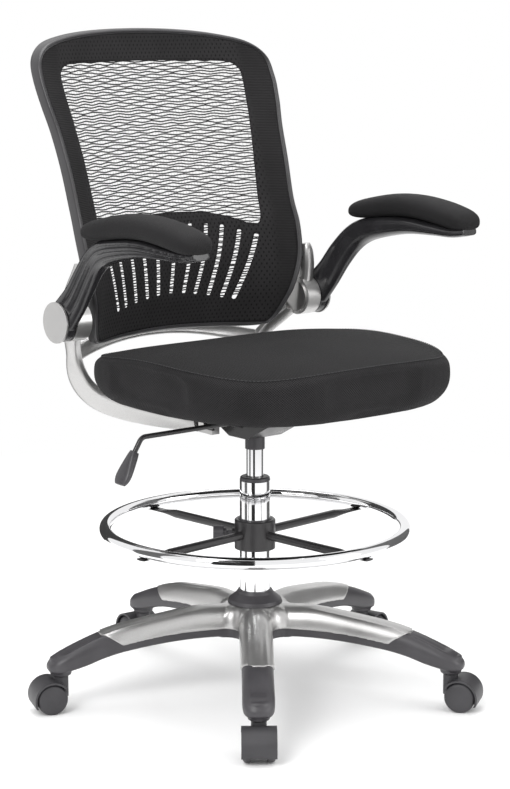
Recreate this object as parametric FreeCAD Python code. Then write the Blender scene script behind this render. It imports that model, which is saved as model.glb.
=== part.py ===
import FreeCAD, Part
import math
import os

os.makedirs("parts", exist_ok=True)
V = FreeCAD.Vector

# Drafting chair with a mesh back, flip-up arms, a footring and a five-leg base on casters.
# Millimetres. The origin is on the floor under the column, +Z is up, and the sitter faces -Y.
# The sitter's right-hand side is -X.

# Driving dimensions ---------------------------------------------------------------------
# Base and casters
leg_count = 5
leg_azimuth = -39.0
stem_circle_radius = 330.0
tip_overhang = 22.0
leg_width = 50.0
leg_foot_z = 60.0
hub_floor_z = 98.0
hub_top_z = 150.0
cover_wall = 2.5
cover_setback = 80.0
collar_foot_radius = 45.0
collar_top_radius = 28.0
collar_height = 21.0
socket_radius = 17.0
stem_radius = 5.5
stem_foot_z = 49.0
stem_length = 39.0
wheel_radius = 25.0
wheel_width = 14.0
wheel_gap = 25.0
caster_trail = 19.0
hood_wall = 3.2
hood_lip_z = 13.0
hood_heel_z = 46.0
hood_top_z = 58.5
axle_radius = 3.0

# Column and gas lift
column_radius = 25.0
column_wall = 3.0
column_foot_z = 66.0
column_taper = 1.5
column_top_z = 330.0
top_collar_height = 27.0
cap_height = 6.0
guide_bush_foot_z = 262.0
cylinder_radius = 14.0
cylinder_wall = 3.0
cylinder_foot_z = 120.0
cylinder_taper = 1.0
cylinder_taper_height = 46.0
sleeve_foot_z = 409.0
sleeve_height = 21.0
sleeve_wall = 2.0
piston_rod_radius = 5.0
piston_z = 321.0
piston_height = 13.0
button_radius = 4.0

# Footring
ring_radius = 245.0
ring_tube_radius = 9.5
ring_tube_wall = 1.5
ring_z = 279.0
ring_hub_radius = 33.5
ring_hub_height = 49.0
ring_hub_foot_z = 243.0
ring_bush_wall = 2.5
spoke_radius = 7.0
spoke_count = 4
spoke_azimuth = 5.0
knob_azimuth = -130.0
knob_radius = 12.0
knob_length = 17.0
knob_seat_radius = 51.5
knob_screw_radius = 4.0

# Tilt mechanism and lever
housing_foot_z = 431.0
housing_half_width = 36.0
housing_front_y = -74.0
housing_rear_y = 62.0
housing_floor_reach = 23.0
housing_wall = 3.0
housing_height = 41.0
housing_front_rise = 27.0
housing_rear_rise = 20.0
tilt_pin_y = -36.0
tilt_pin_z = 467.0
tilt_pin_radius = 5.0
spring_wire_radius = 2.0
spring_coil_radius = 9.5
spring_turns = 5
lever_y = -5.0
lever_z = 458.0
lever_rod_radius = 4.0
lever_bend_x = 234.0
rocker_x = 26.0

# Seat
seat_plate_z = 492.0
seat_plate_thickness = 4.0
seat_plate_half_width = 98.0
seat_plate_front_y = -118.0
seat_plate_rear_y = 112.0
pan_thickness = 12.0
pan_margin = 43.0
cushion_centre_y = -42.0
cushion_half_width = 257.0
cushion_half_depth = 255.0
cushion_height = 84.0
seat_screw_radius = 3.0
seat_screw_length = 11.0
seat_screw_places = [(-78, -92), (-78, 88), (78, -92), (78, 88)]

# Back
back_half_width = 245.0
back_waist_half_width = 228.0
back_foot_half_width = 190.0
back_foot_z = 574.0
back_waist_z = 800.0
back_top_z = 1084.0
frame_depth = 26.0
frame_width = 22.0
mesh_thickness = 3.0
mesh_inset = 7.0

# Side bars and arms
hub_y = 161.0
hub_z = 623.0
boss_radius = 32.0
boss_inner_x = 229.0
boss_outer_x = 257.0
bar_thickness = 24.0
bar_end_thickness = 14.0
bar_foot_x = 49.0
bracket_rear_y = 76.0
arm_hub_radius = 31.0
arm_hub_outer_x = 276.0
cap_thickness = 3.0
cap_radius = 33.0
pin_radius = 6.0
pad_centre_x = 277.5
pad_half_width = 33.0

# Fits
running_clearance = 0.05
wheel_clearance = 1.5
face_clearance = 1.0

# Places that follow from the values above
leg_tip_radius = stem_circle_radius + tip_overhang
cover_end_radius = stem_circle_radius - cover_setback
column_bore_radius = column_radius - column_wall
cap_top_z = column_top_z + top_collar_height + cap_height
cylinder_top_z = sleeve_foot_z + cylinder_taper_height
pan_z = seat_plate_z + seat_plate_thickness
cushion_z = pan_z + pan_thickness
bracket_inner_x = bar_foot_x + bar_end_thickness / 2 + 1


# Shape helpers --------------------------------------------------------------------------
def azimuth_point(radius, azimuth, z):
    """A point at a radius from the column; azimuth 0 is the front, +90 is +X."""
    angle = math.radians(azimuth)
    return V(radius * math.sin(angle), -radius * math.cos(angle), z)


def rod(radius, start, end):
    """A round bar between two points."""
    return Part.makeCylinder(radius, (end - start).Length, start, end - start)


def rod_x(radius, x_start, x_end, y, z):
    """A round bar along X."""
    return rod(radius, V(x_start, y, z), V(x_end, y, z))


def ring_z_solid(outer, inner, z_low, z_high):
    """A plain ring about the column axis."""
    body = Part.makeCylinder(outer, z_high - z_low, V(0, 0, z_low))
    return body.cut(Part.makeCylinder(inner, z_high - z_low, V(0, 0, z_low)))


def block(x_low, x_high, y_low, y_high, z_low, z_high):
    """A box between two corners."""
    return Part.makeBox(x_high - x_low, y_high - y_low, z_high - z_low, V(x_low, y_low, z_low))


def turned(profile):
    """A closed (radius, z) outline turned about the column axis."""
    points = [V(radius, 0, z) for radius, z in profile]
    face = Part.Face(Part.makePolygon(points + points[:1]))
    return face.revolve(V(0, 0, 0), V(0, 0, 1), 360)


def spline(points):
    """One smooth edge through the points."""
    curve = Part.BSplineCurve()
    curve.interpolate(points)
    return curve.toShape()


def closed_spline(points):
    """One smooth closed wire through the points."""
    curve = Part.BSplineCurve()
    curve.interpolate(points, PeriodicFlag=True)
    return Part.Wire(curve.toShape())


def oval(centre, side, up, power, steps=16):
    """A rounded closed section: a superellipse spanned by two half-axis vectors."""
    points = []
    for step in range(steps):
        angle = 2 * math.pi * (step + 0.5) / steps
        c = math.cos(angle)
        s = math.sin(angle)
        points.append(centre + side * math.copysign(abs(c) ** (2 / power), c)
                      + up * math.copysign(abs(s) ** (2 / power), s))
    return closed_spline(points)


def lofted(wires):
    """A smooth solid through closed sections."""
    return Part.makeLoft(wires, True, False)


def mirrored(shape):
    """The same piece on the other side of the chair."""
    return shape.mirror(V(0, 0, 0), V(1, 0, 0))


def fused(shapes):
    """One solid from pieces that overlap."""
    body = shapes[0]
    for shape in shapes[1:]:
        body = body.fuse(shape)
    return body


def save(node, shape):
    """Write one sub-part; a group of pieces becomes a compound of its solids."""
    solids = shape.Solids
    body = solids[0] if len(solids) == 1 else Part.makeCompound(solids)
    body.exportStep("parts/" + node + ".step")


# Base -----------------------------------------------------------------------------------
# Stations along a leg: radius, underside z, split line z, top z, half width over leg_width / 2
leg_stations = [
    (20.0, 100.0, 117.0, 148.0, 1.05),
    (60.0, 102.0, 117.0, 151.0, 1.05),
    (stem_circle_radius / 3, 103.0, 117.0, 152.0, 1.0),
    (stem_circle_radius / 2, 100.0, 114.0, 145.0, 1.0),
    (cover_end_radius - 25, 93.0, 106.0, 136.0, 1.0),
    (cover_end_radius + 14, 84.0, 98.0, 126.0, 1.02),
]
tip_stations = [
    (cover_end_radius - 2, 94.0, 122.0, 0.86),
    (cover_end_radius + 4, 86.0, 130.0, 1.04),
    (stem_circle_radius - 38, 75.0, 114.0, 1.05),
    (stem_circle_radius - 5, 67.0, 99.0, 1.06),
    (stem_circle_radius + 13, 66.0, 90.0, 0.86),
    (leg_tip_radius, 68.0, 81.0, 0.5),
]


def crown_line(station, inset):
    """The flanks and crown of a leg section, from the left split line to the right one."""
    _, _, split, top, spread = station
    half = leg_width / 2 * spread - inset
    crown = top - inset
    rise = crown - split
    return [(-half, split), (-half + 1.5, split + 0.5 * rise), (-0.62 * half, crown - 0.1 * rise),
            (0, crown), (0.62 * half, crown - 0.1 * rise), (half - 1.5, split + 0.5 * rise),
            (half, split)]


def cover_section(station):
    """A leg section of the cover's outside, closed along the split line."""
    points = [V(y, -station[0], z) for y, z in crown_line(station, 0.0)]
    return Part.Wire([spline(points), Part.makeLine(points[-1], points[0])])


def cover_core_section(station):
    """A leg section of the cover's hollow, which runs out below the split line."""
    points = [V(y, -station[0], z) for y, z in crown_line(station, cover_wall)]
    below = V(0, 0, -2 * cover_wall)
    outline = [points[-1], points[-1] + below, points[0] + below, points[0]]
    edges = [spline(points)]
    for start, end in zip(outline, outline[1:]):
        edges.append(Part.makeLine(start, end))
    return Part.Wire(edges)


def star_section(station):
    """A leg section of the star: a tray below the split line and a core inside the cover."""
    radius, foot, split, _, spread = station
    half = leg_width / 2 * spread
    points = [V(y, -radius, z) for y, z in crown_line(station, cover_wall)]
    right = [V(half, -radius, split), V(half - 3, -radius, foot)]
    left = [V(-half + 3, -radius, foot), V(-half, -radius, split)]
    outline = [points[-1]] + right + left + [points[0]]
    edges = [spline(points)]
    for start, end in zip(outline, outline[1:]):
        edges.append(Part.makeLine(start, end))
    return Part.Wire(edges)


def leg_tip():
    """The leg's bare end, with the round socket of the caster stem under it."""
    wires = []
    for radius, foot, top, spread in tip_stations:
        side = V(leg_width / 2 * spread, 0, 0)
        wires.append(oval(V(0, -radius, (foot + top) / 2), side, V(0, 0, (top - foot) / 2), 3.0))
    socket = Part.makeCylinder(socket_radius, 30, V(0, -stem_circle_radius, leg_foot_z))
    return lofted(wires).fuse(socket)


def around_base(shape):
    """Copies of a front-facing leg piece at every leg."""
    copies = []
    for leg in range(leg_count):
        copy = shape.copy()
        copy.rotate(V(0, 0, 0), V(0, 0, 1), leg_azimuth + 360.0 * leg / leg_count)
        copies.append(copy)
    return copies


def column_taper_solid(extra=0.0):
    """The tapered foot of the column, which wedges into the base hub."""
    height = hub_top_z - column_foot_z
    cone = Part.makeCone(column_radius - column_taper + extra, column_radius + extra, height,
                         V(0, 0, column_foot_z))
    return cone


def base_hub(grow):
    """The hub's solid core, or its outline grown by the cover's wall."""
    return turned([(0, hub_floor_z), (52, hub_floor_z), (55 + grow, 117), (51 + grow, 136),
                   (42 + grow, hub_top_z + grow), (0, hub_top_z + grow)])


def make_base_star():
    core = lofted([star_section(station) for station in leg_stations])
    bore_top = V(0, -stem_circle_radius, leg_foot_z + stem_length - 9)
    bore = rod(stem_radius + running_clearance, V(0, -stem_circle_radius, leg_foot_z - 1), bore_top)
    leg = core.fuse(leg_tip()).cut(bore)
    return fused([base_hub(0.0)] + around_base(leg)).cut(column_taper_solid())


def make_base_cover():
    """The cast-look shell over the hub and the inner two thirds of every leg."""
    skin = lofted([cover_section(station) for station in leg_stations])
    core = lofted([cover_core_section(station) for station in leg_stations])
    outer = fused([base_hub(cover_wall)] + around_base(skin))
    inner = fused([base_hub(0.0)] + around_base(core))
    shell = outer.cut(inner)
    for end in around_base(block(-60, 60, -stem_circle_radius, -cover_end_radius, 0, 200)):
        shell = shell.cut(end)
    shell = shell.cut(Part.makeCylinder(70, 40, V(0, 0, leg_stations[0][2] - 40)))
    shell = shell.cut(Part.makeCylinder(collar_foot_radius, 40, V(0, 0, hub_top_z + 2)))
    return shell.cut(Part.makeCylinder(column_radius + 2, 80, V(0, 0, hub_top_z - 60)))


def make_base_collar():
    low = hub_top_z + 2
    inner = column_radius + running_clearance
    return turned([(inner, low), (collar_foot_radius, low), (collar_foot_radius - 2, low + 6),
                   (collar_top_radius + 3, low + collar_height - 5), (collar_top_radius, low + collar_height),
                   (inner, low + collar_height)])


def make_column_tube():
    straight = Part.makeCylinder(column_radius, column_top_z - hub_top_z, V(0, 0, hub_top_z))
    body = straight.fuse(column_taper_solid())
    length = column_top_z - column_foot_z
    return body.cut(Part.makeCylinder(column_bore_radius, length, V(0, 0, column_foot_z)))


def make_column_collar():
    low = column_top_z
    high = low + top_collar_height
    inner = column_bore_radius
    return turned([(inner, low), (column_radius - 1.5, low), (column_radius - 1.5, low + 2),
                   (column_radius, low + 3), (column_radius, high - 1), (column_radius - 1, high),
                   (inner, high)])


def make_guide_bush():
    inner = cylinder_radius + running_clearance
    cap_low = column_top_z + top_collar_height
    foot = guide_bush_foot_z
    return turned([(inner, foot), (column_bore_radius, foot), (column_bore_radius, cap_low),
                   (column_radius, cap_low), (column_radius - 1, cap_top_z - 1.5),
                   (column_radius - 3, cap_top_z), (inner, cap_top_z)])


def make_column_clip():
    hole = piston_rod_radius + running_clearance
    return ring_z_solid(column_bore_radius, hole, column_foot_z, column_foot_z + 4)


# Casters --------------------------------------------------------------------------------
def caster_place(shape, number):
    """Move a caster made at the origin, trailing along -Y, to its leg."""
    copy = shape.copy()
    copy.translate(V(0, -stem_circle_radius, 0))
    copy.rotate(V(0, 0, 0), V(0, 0, 1), leg_azimuth + 360.0 * number / leg_count)
    return copy


def wheel_room(side):
    """The space that one wheel turns in."""
    start = side * (wheel_gap / 2 - face_clearance)
    axle = V(start, -caster_trail, wheel_radius)
    return rod(wheel_radius + wheel_clearance, axle, axle + V(side * 40, 0, 0))


def make_hood():
    """A hood over both wheels: a web between them, a round boss for the stem and an open front."""
    outer = wheel_radius + wheel_clearance + hood_wall
    half = wheel_gap / 2 + wheel_width + 0.5
    fender = rod_x(outer, -half, half, -caster_trail, wheel_radius)
    reach = 2 * outer
    heel_cut = block(-reach, reach, 4, reach, -reach, hood_heel_z)
    boss = Part.makeCylinder(12, hood_top_z - wheel_radius, V(0, 0, wheel_radius))
    body = fender.cut(heel_cut).fuse(boss)
    for side in (-1, 1):
        body = body.cut(wheel_room(side))
    body = body.cut(block(-reach, reach, -reach - caster_trail, reach, -reach, hood_lip_z))
    body = body.cut(rod_x(axle_radius, -half, half, -caster_trail, wheel_radius))
    body = body.cut(Part.makeCylinder(stem_radius, stem_length, V(0, 0, stem_foot_z)))
    return sorted(body.Solids, key=lambda solid: solid.Volume)[-1]


def make_caster_pins():
    stem = Part.makeCylinder(stem_radius, stem_length, V(0, 0, stem_foot_z))
    collar = Part.makeCylinder(stem_radius + 3, 1.2, V(0, 0, hood_top_z))
    reach = wheel_gap / 2 + wheel_width - 4
    axle = rod_x(axle_radius, -reach, reach, -caster_trail, wheel_radius)
    return Part.makeCompound([stem.fuse(collar).removeSplitter(), axle])


def make_wheel(side):
    """A wheel with a rounded tread and a domed outer face, on a blind running bore."""
    inner = wheel_gap / 2
    outer = inner + wheel_width
    bore = axle_radius + running_clearance
    rim = wheel_radius
    outline = [(bore, inner), (rim - 1.5, inner), (rim, inner + 1.5), (rim, outer - 6),
               (rim - 0.8, outer - 4), (rim - 2.6, outer - 2.2), (rim - 6, outer - 1.2),
               (rim - 14, outer - 0.3), (0, outer), (0, outer - 3.5), (bore, outer - 3.5)]
    wheel = turned(outline)
    wheel.rotate(V(0, 0, 0), V(0, 1, 0), 90 * side)
    wheel.translate(V(0, -caster_trail, wheel_radius))
    return wheel


# Spindle and gas lift -------------------------------------------------------------------
def make_thrust_bearing():
    low = column_foot_z + 4
    return ring_z_solid(11, piston_rod_radius, low, low + 5)


def make_piston_rod():
    low = column_foot_z - 3
    shoulder = Part.makeCylinder(9, 3, V(0, 0, column_foot_z + 9))
    piston_radius = cylinder_radius - cylinder_wall - running_clearance
    piston = Part.makeCylinder(piston_radius, piston_height, V(0, 0, piston_z))
    return fused([Part.makeCylinder(piston_rod_radius, piston_z - low, V(0, 0, low)), shoulder, piston])


def make_gas_cylinder():
    low = cylinder_foot_z
    bore = cylinder_radius - cylinder_wall
    body = Part.makeCylinder(cylinder_radius, sleeve_foot_z - low, V(0, 0, low))
    taper = Part.makeCone(cylinder_radius, cylinder_radius - cylinder_taper, cylinder_taper_height,
                          V(0, 0, sleeve_foot_z))
    chamber = Part.makeCylinder(bore, sleeve_foot_z - 10 - low - 8, V(0, 0, low + 8))
    rod_hole = Part.makeCylinder(piston_rod_radius + running_clearance, 10, V(0, 0, low - 1))
    button_hole = Part.makeCylinder(button_radius + running_clearance, 25, V(0, 0, cylinder_top_z - 20))
    return body.fuse(taper).removeSplitter().cut(chamber).cut(rod_hole).cut(button_hole)


def make_gas_button():
    return Part.makeCylinder(button_radius, 21, V(0, 0, cylinder_top_z - 15))


def cylinder_cone(extra):
    """The lift's taper, wider by a clearance."""
    return Part.makeCone(cylinder_radius + extra, cylinder_radius - cylinder_taper + extra,
                         cylinder_taper_height, V(0, 0, sleeve_foot_z))


def make_cylinder_sleeve():
    body = Part.makeCylinder(cylinder_radius + sleeve_wall, sleeve_height, V(0, 0, sleeve_foot_z))
    return body.cut(cylinder_cone(0.0))


# Footring -------------------------------------------------------------------------------
def make_footring_bush():
    inner = column_radius + running_clearance
    outer = column_radius + ring_bush_wall
    low = ring_hub_foot_z
    high = low + ring_hub_height
    return turned([(inner, low - 1), (outer, low - 1), (outer, high + 1), (inner, high + 1)])


def make_footring_hub():
    inner = column_radius + ring_bush_wall + running_clearance
    low = ring_hub_foot_z
    high = low + ring_hub_height
    body = turned([(inner, low), (ring_hub_radius, low), (ring_hub_radius, high - 2),
                   (ring_hub_radius - 2, high), (inner, high)])
    seat = azimuth_point(ring_hub_radius, knob_azimuth, spoke_level())
    boss = rod(8, azimuth_point(inner + 2, knob_azimuth, spoke_level()), seat + seat.sub(V(0, 0, seat.z)) * 0.12)
    bore = rod(knob_screw_radius + running_clearance, azimuth_point(20, knob_azimuth, spoke_level()),
               azimuth_point(60, knob_azimuth, spoke_level()))
    return body.fuse(boss).cut(bore)


def spoke_level():
    """Height of the spoke axes: their flat ends lie under the ring tube."""
    return ring_z - ring_tube_radius - 1.8


def ring_solid():
    return Part.makeTorus(ring_radius, ring_tube_radius, V(0, 0, ring_z))


def make_footring_tube():
    """A tube bent to a hoop and welded shut."""
    return ring_solid().cut(Part.makeTorus(ring_radius, ring_tube_radius - ring_tube_wall, V(0, 0, ring_z)))


def make_footring_spokes():
    """Four tubes with ends pressed flat, which lie under the ring."""
    spokes = []
    level = spoke_level()
    for number in range(spoke_count):
        flat = 1.8
        wires = []
        for radius, half_width, half_height in ((25, spoke_radius, spoke_radius),
                                                (190, spoke_radius, spoke_radius),
                                                (220, 9.5, 2.6), (232, 10.0, flat), (252, 10.0, flat)):
            wires.append(oval(V(0, -radius, level), V(half_width, 0, 0), V(0, 0, half_height), 2.0))
        straight = lofted(wires[:2])
        pressed = Part.makeLoft(wires[1:], True, True)
        spoke = straight.fuse(pressed)
        spoke = spoke.cut(Part.makeCylinder(ring_hub_radius, 60, V(0, 0, ring_z - 40)))
        spoke = spoke.cut(ring_solid())
        spoke.rotate(V(0, 0, 0), V(0, 0, 1), spoke_azimuth + 360.0 * number / spoke_count)
        spokes.append(sorted(spoke.Solids, key=lambda solid: solid.Volume)[-1])
    return Part.makeCompound(spokes)


def make_clamp_knob():
    """A lobed hand knob on its clamping screw."""
    level = spoke_level()
    start = azimuth_point(knob_seat_radius, knob_azimuth, level)
    end = azimuth_point(knob_seat_radius + knob_length, knob_azimuth, level)
    handle = rod(knob_radius, start, end)
    neck = azimuth_point(knob_seat_radius - 5, knob_azimuth, level)
    tip = azimuth_point(column_radius + ring_bush_wall + 0.3, knob_azimuth, level)
    return fused([handle, rod(8, neck, start), rod(knob_screw_radius, tip, start)])


# Tilt mechanism -------------------------------------------------------------------------
def housing_prism(inset, top):
    """The housing's outside, or its hollow: a flat floor under the column, rising to each end."""
    front = housing_front_y + inset
    rear = housing_rear_y - inset
    floor = housing_foot_z + inset
    outline = [(front, floor + housing_front_rise), (-housing_floor_reach, floor), (housing_floor_reach, floor),
               (rear, floor + housing_rear_rise), (rear, top), (front, top)]
    points = [V(inset - housing_half_width, y, z) for y, z in outline]
    face = Part.Face(Part.makePolygon(points + points[:1]))
    return face.extrude(V(2 * (housing_half_width - inset), 0, 0))


def make_tilt_housing():
    low = housing_foot_z
    high = low + housing_height
    half = housing_half_width
    tub = housing_prism(0.0, high)
    ears = block(-half, half, tilt_pin_y - 12, tilt_pin_y + 12, high - 1, tilt_pin_z + 12)
    tub = tub.fuse(ears)
    wall = housing_wall
    tub = tub.cut(housing_prism(wall, tilt_pin_z + 20))
    socket = Part.makeCylinder(cylinder_radius + 5, 18, V(0, 0, low))
    tub = tub.fuse(socket).removeSplitter().cut(cylinder_cone(0.0))
    pin_hole = rod_x(tilt_pin_radius + running_clearance, -half - 1, half + 1, tilt_pin_y, tilt_pin_z)
    slot = block(-half - 1, -half + wall + 1, lever_y - 8, lever_y + 8, lever_z - 9, high + 1)
    rocker_pin = rod(2.5, V(-rocker_x, lever_y - 14, lever_z), V(-rocker_x, lever_y + 14, lever_z))
    cheeks = []
    for side in (-1, 1):
        y = lever_y + side * 12
        cheeks.append(block(-rocker_x - 5, -rocker_x + 5, y - 2, y + 2, low + wall - 1, lever_z + 6))
    tub = tub.cut(pin_hole).cut(slot).fuse(cheeks[0]).fuse(cheeks[1]).fuse(rocker_pin)
    return tub.removeSplitter()


def make_tilt_spring():
    """Two coil springs round the tilt pin, wound against the seat's weight."""
    pitch = 2 * spring_wire_radius + 0.4
    springs = []
    for side in (-1, 1):
        helix = Part.makeHelix(pitch, pitch * spring_turns, spring_coil_radius)
        section = Part.Wire(Part.makeCircle(spring_wire_radius, V(spring_coil_radius, 0, 0), V(0, 1, 0)))
        coil = Part.Wire(helix).makePipeShell([section], True, True)
        coil.rotate(V(0, 0, 0), V(0, 1, 0), 90)
        start = side * (housing_half_width - housing_wall) / 2 - pitch * spring_turns / 2
        coil.translate(V(start, tilt_pin_y, tilt_pin_z - 1.5))
        springs.append(coil)
    return Part.makeCompound(springs)


def make_lever_rocker():
    """A rocker on a cross pin; its inner toe lies over the valve button."""
    centre = V(-rocker_x, lever_y, lever_z)
    barrel = rod(7, centre + V(0, -8.5, 0), centre + V(0, 8.5, 0))
    tube = rod_x(lever_rod_radius + 2.5, -rocker_x - 4, -52, lever_y, lever_z)
    toe = block(-rocker_x, 4, lever_y - 3, lever_y + 8.5, cylinder_top_z + 6.3, cylinder_top_z + 10)
    body = fused([barrel, tube, toe])
    body = body.cut(rod(2.5 + running_clearance, centre + V(0, -10, 0), centre + V(0, 10, 0)))
    return body.cut(rod_x(lever_rod_radius + running_clearance, -rocker_x - 8, -60, lever_y, lever_z))


def make_lever_rod():
    """A bent steel rod from the rocker to the paddle."""
    inner = V(-rocker_x - 8.5, lever_y, lever_z)
    bend = V(-lever_bend_x, lever_y, lever_z)
    neck = V(-lever_bend_x - 16, lever_y, lever_z - 25)
    first = (bend - inner).normalize()
    second = (neck - bend).normalize()
    radius = 14.0
    turn = math.acos(first.dot(second))
    reach = radius * math.tan(turn / 2)
    start = bend - first * reach
    end = bend + second * reach
    centre_way = (second - first).normalize()
    middle = bend + centre_way * (radius / math.cos(turn / 2) - radius)
    path = Part.Wire([Part.makeLine(inner, start), Part.Arc(start, middle, end).toShape(),
                      Part.makeLine(end, neck)])
    section = Part.Wire(Part.makeCircle(lever_rod_radius, inner, first))
    return path.makePipeShell([section], True, True)


# Stations down the paddle: distance from the rod's end, half width, half thickness
paddle_stations = [(-4, 6.5, 6.5), (8, 10, 7.5), (28, 15, 7), (42, 16, 6), (52, 11, 4)]


def make_lever_paddle():
    """A flat paddle grip that widens downwards from the end of the rod."""
    neck = V(-lever_bend_x - 16, lever_y, lever_z - 25)
    down = V(-0.52, 0, -0.854)
    across = V(0, 1, 0)
    face = V(-0.854, 0, 0.52)
    wires = []
    for along, half_width, half_thick in paddle_stations:
        wires.append(oval(neck + down * along, across * half_width, face * half_thick, 2.8))
    return lofted(wires).cut(make_lever_rod())


def make_seat_plate():
    """A steel plate with down-turned flanges, ears for the tilt pin and brackets for the bars."""
    low = seat_plate_z
    high = low + seat_plate_thickness
    half = seat_plate_half_width
    plate = block(-half, half, seat_plate_front_y, seat_plate_rear_y, low, high)
    for side in (-1, 1):
        flange = block(min(side * half, side * (half - 4)), max(side * half, side * (half - 4)),
                       seat_plate_front_y, seat_plate_rear_y, low - 14, high)
        ear_x = housing_half_width + face_clearance
        ear = block(min(side * ear_x, side * (ear_x + 4)), max(side * ear_x, side * (ear_x + 4)),
                    tilt_pin_y - 12, tilt_pin_y + 12, tilt_pin_z - 12, high)
        bracket = block(min(side * bracket_inner_x, side * (bracket_inner_x + 4)),
                        max(side * bracket_inner_x, side * (bracket_inner_x + 4)), 34, bracket_rear_y,
                        440, high)
        plate = plate.fuse(flange).fuse(ear).fuse(bracket)
    pin = rod_x(tilt_pin_radius, -60, 60, tilt_pin_y, tilt_pin_z)
    bolt = rod_x(bar_bolt_radius, -80, 80, bar_bolt_y, bar_bolt_z)
    plate = plate.removeSplitter().cut(pin).cut(bolt)
    for x, y in seat_screw_places:
        plate = plate.cut(Part.makeCylinder(seat_screw_radius, 30, V(x, y, low - 10)))
    return plate


def make_tilt_pin():
    reach = housing_half_width + face_clearance + 4
    shaft = rod_x(tilt_pin_radius, -reach - 3, reach + 3, tilt_pin_y, tilt_pin_z)
    heads = [rod_x(tilt_pin_radius + 3, side * reach, side * (reach + 3), tilt_pin_y, tilt_pin_z)
             for side in (-1, 1)]
    return fused([shaft] + heads)


# Seat -----------------------------------------------------------------------------------
def seat_section(half_x, half_y, z):
    """A squared round outline of the seat at one height."""
    return oval(V(0, cushion_centre_y, z), V(half_x, 0, 0), V(0, half_y, 0), 3.0, 20)


def make_seat_pan():
    half_x = cushion_half_width - pan_margin
    half_y = cushion_half_depth - pan_margin
    face = Part.Face(seat_section(half_x, half_y, pan_z))
    pan = face.extrude(V(0, 0, pan_thickness))
    for x, y in seat_screw_places:
        pan = pan.cut(Part.makeCylinder(seat_screw_radius, seat_screw_length, V(x, y, seat_plate_z)))
    return pan


# Rows of the cushion: share of its height, of its half width and of its half depth
cushion_rows = [(0.0, 0.885, 0.885), (0.12, 0.965, 0.965), (0.34, 1.0, 1.0), (0.6, 0.995, 0.995),
                (0.82, 0.955, 0.95), (0.93, 0.86, 0.85), (1.0, 0.66, 0.65)]


def make_seat_cushion():
    """A crowned cushion, widest at a third of its height."""
    wires = [seat_section(cushion_half_width * across, cushion_half_depth * along,
                          cushion_z + cushion_height * up) for up, across, along in cushion_rows]
    return lofted(wires)


def make_seat_screws():
    screws = []
    for x, y in seat_screw_places:
        head = Part.makeCylinder(6, 3, V(x, y, seat_plate_z - 3))
        shank = Part.makeCylinder(seat_screw_radius, seat_screw_length, V(x, y, seat_plate_z))
        screws.append(head.fuse(shank).removeSplitter())
    return Part.makeCompound(screws)


# Back -----------------------------------------------------------------------------------
# Rows of the back's front face: height, y on the centre line, y at the reference half width
back_reference_x = 230.0
back_rows = [(540.0, 231.0, 132.0), (580.0, 230.0, 136.0), (640.0, 220.0, 124.0), (700.0, 212.0, 134.0),
             (750.0, 217.0, 148.0), (800.0, 231.0, 165.0), (860.0, 246.0, 184.0), (920.0, 262.0, 208.0),
             (980.0, 282.0, 235.0), (1030.0, 295.0, 254.0), (1110.0, 303.0, 270.0)]


def back_slab(front, rear):
    """The back's curved face, thickened between two offsets along Y."""
    wires = []
    reach = back_half_width + 20
    for z, middle, edge in back_rows:
        across = []
        for share in (-1.0, -0.85, -0.65, -0.4, 0.0, 0.4, 0.65, 0.85, 1.0):
            x = share * reach
            sag = (middle - edge) * (abs(x) / back_reference_x) ** 2.5
            across.append(V(x, middle - sag, z))
        near = [point + V(0, front, 0) for point in across]
        far = [point + V(0, rear, 0) for point in reversed(across)]
        wires.append(Part.Wire([spline(near), Part.makeLine(near[-1], far[0]), spline(far),
                                Part.makeLine(far[-1], near[0])]))
    return lofted(wires)


def back_outline(inset):
    """The back's outline seen from the front, cut out as a prism along Y."""
    side = [(back_half_width - 6, back_top_z - 51), (back_half_width, back_top_z - 84),
            (back_half_width - 3, back_top_z - 124), (back_waist_half_width + 6, back_waist_z + 105),
            (back_waist_half_width, back_waist_z), (back_waist_half_width + 1, back_waist_z - 50),
            (back_waist_half_width - 3, back_foot_z + 126), (back_waist_half_width - 12, back_foot_z + 86),
            (back_waist_half_width - 23, back_foot_z + 48), (back_foot_half_width, back_foot_z + 12)]
    half = [(x - inset, z) for x, z in side]
    half.append((back_foot_half_width - 24 - inset * 0.6, back_foot_z + inset * 0.8))
    half.append((90, back_foot_z + inset + 0.5))
    top = [(90, back_top_z - inset - 6), (160, back_top_z - inset - 14),
           (back_half_width - 34 - inset * 0.6, back_top_z - inset * 0.8 - 27)]
    right = top + half
    left = [(-x, z) for x, z in reversed(right)]
    points = [V(0, 0, back_top_z - inset - 3)] + [V(x, 0, z) for x, z in right]
    points += [V(0, 0, back_foot_z + inset + 3)] + [V(x, 0, z) for x, z in left]
    return Part.Face(closed_spline(points)).extrude(V(0, 400, 0))


def make_back_frame():
    """The moulded rim, rebated at the front for the fabric, with a lug for each side bar."""
    rim = back_outline(0.0).cut(back_outline(frame_width))
    rim = rim.common(back_slab(-1.0, frame_depth))
    rebate = back_outline(mesh_inset).common(back_slab(-12.0, mesh_thickness))
    rim = rim.cut(rebate)
    lug = rod_x(11, 206, bar_lug_x, bar_lug_y, bar_lug_z)
    lug = lug.cut(back_slab(-60, mesh_thickness + 2))
    for piece in (lug, mirrored(lug)):
        rim = rim.fuse(piece)
    return rim.cut(rod_x(bar_bolt_radius, -300, 300, bar_lug_y, bar_lug_z))


def make_back_mesh():
    return back_outline(mesh_inset + 0.2).common(back_slab(0.0, mesh_thickness))


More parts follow.
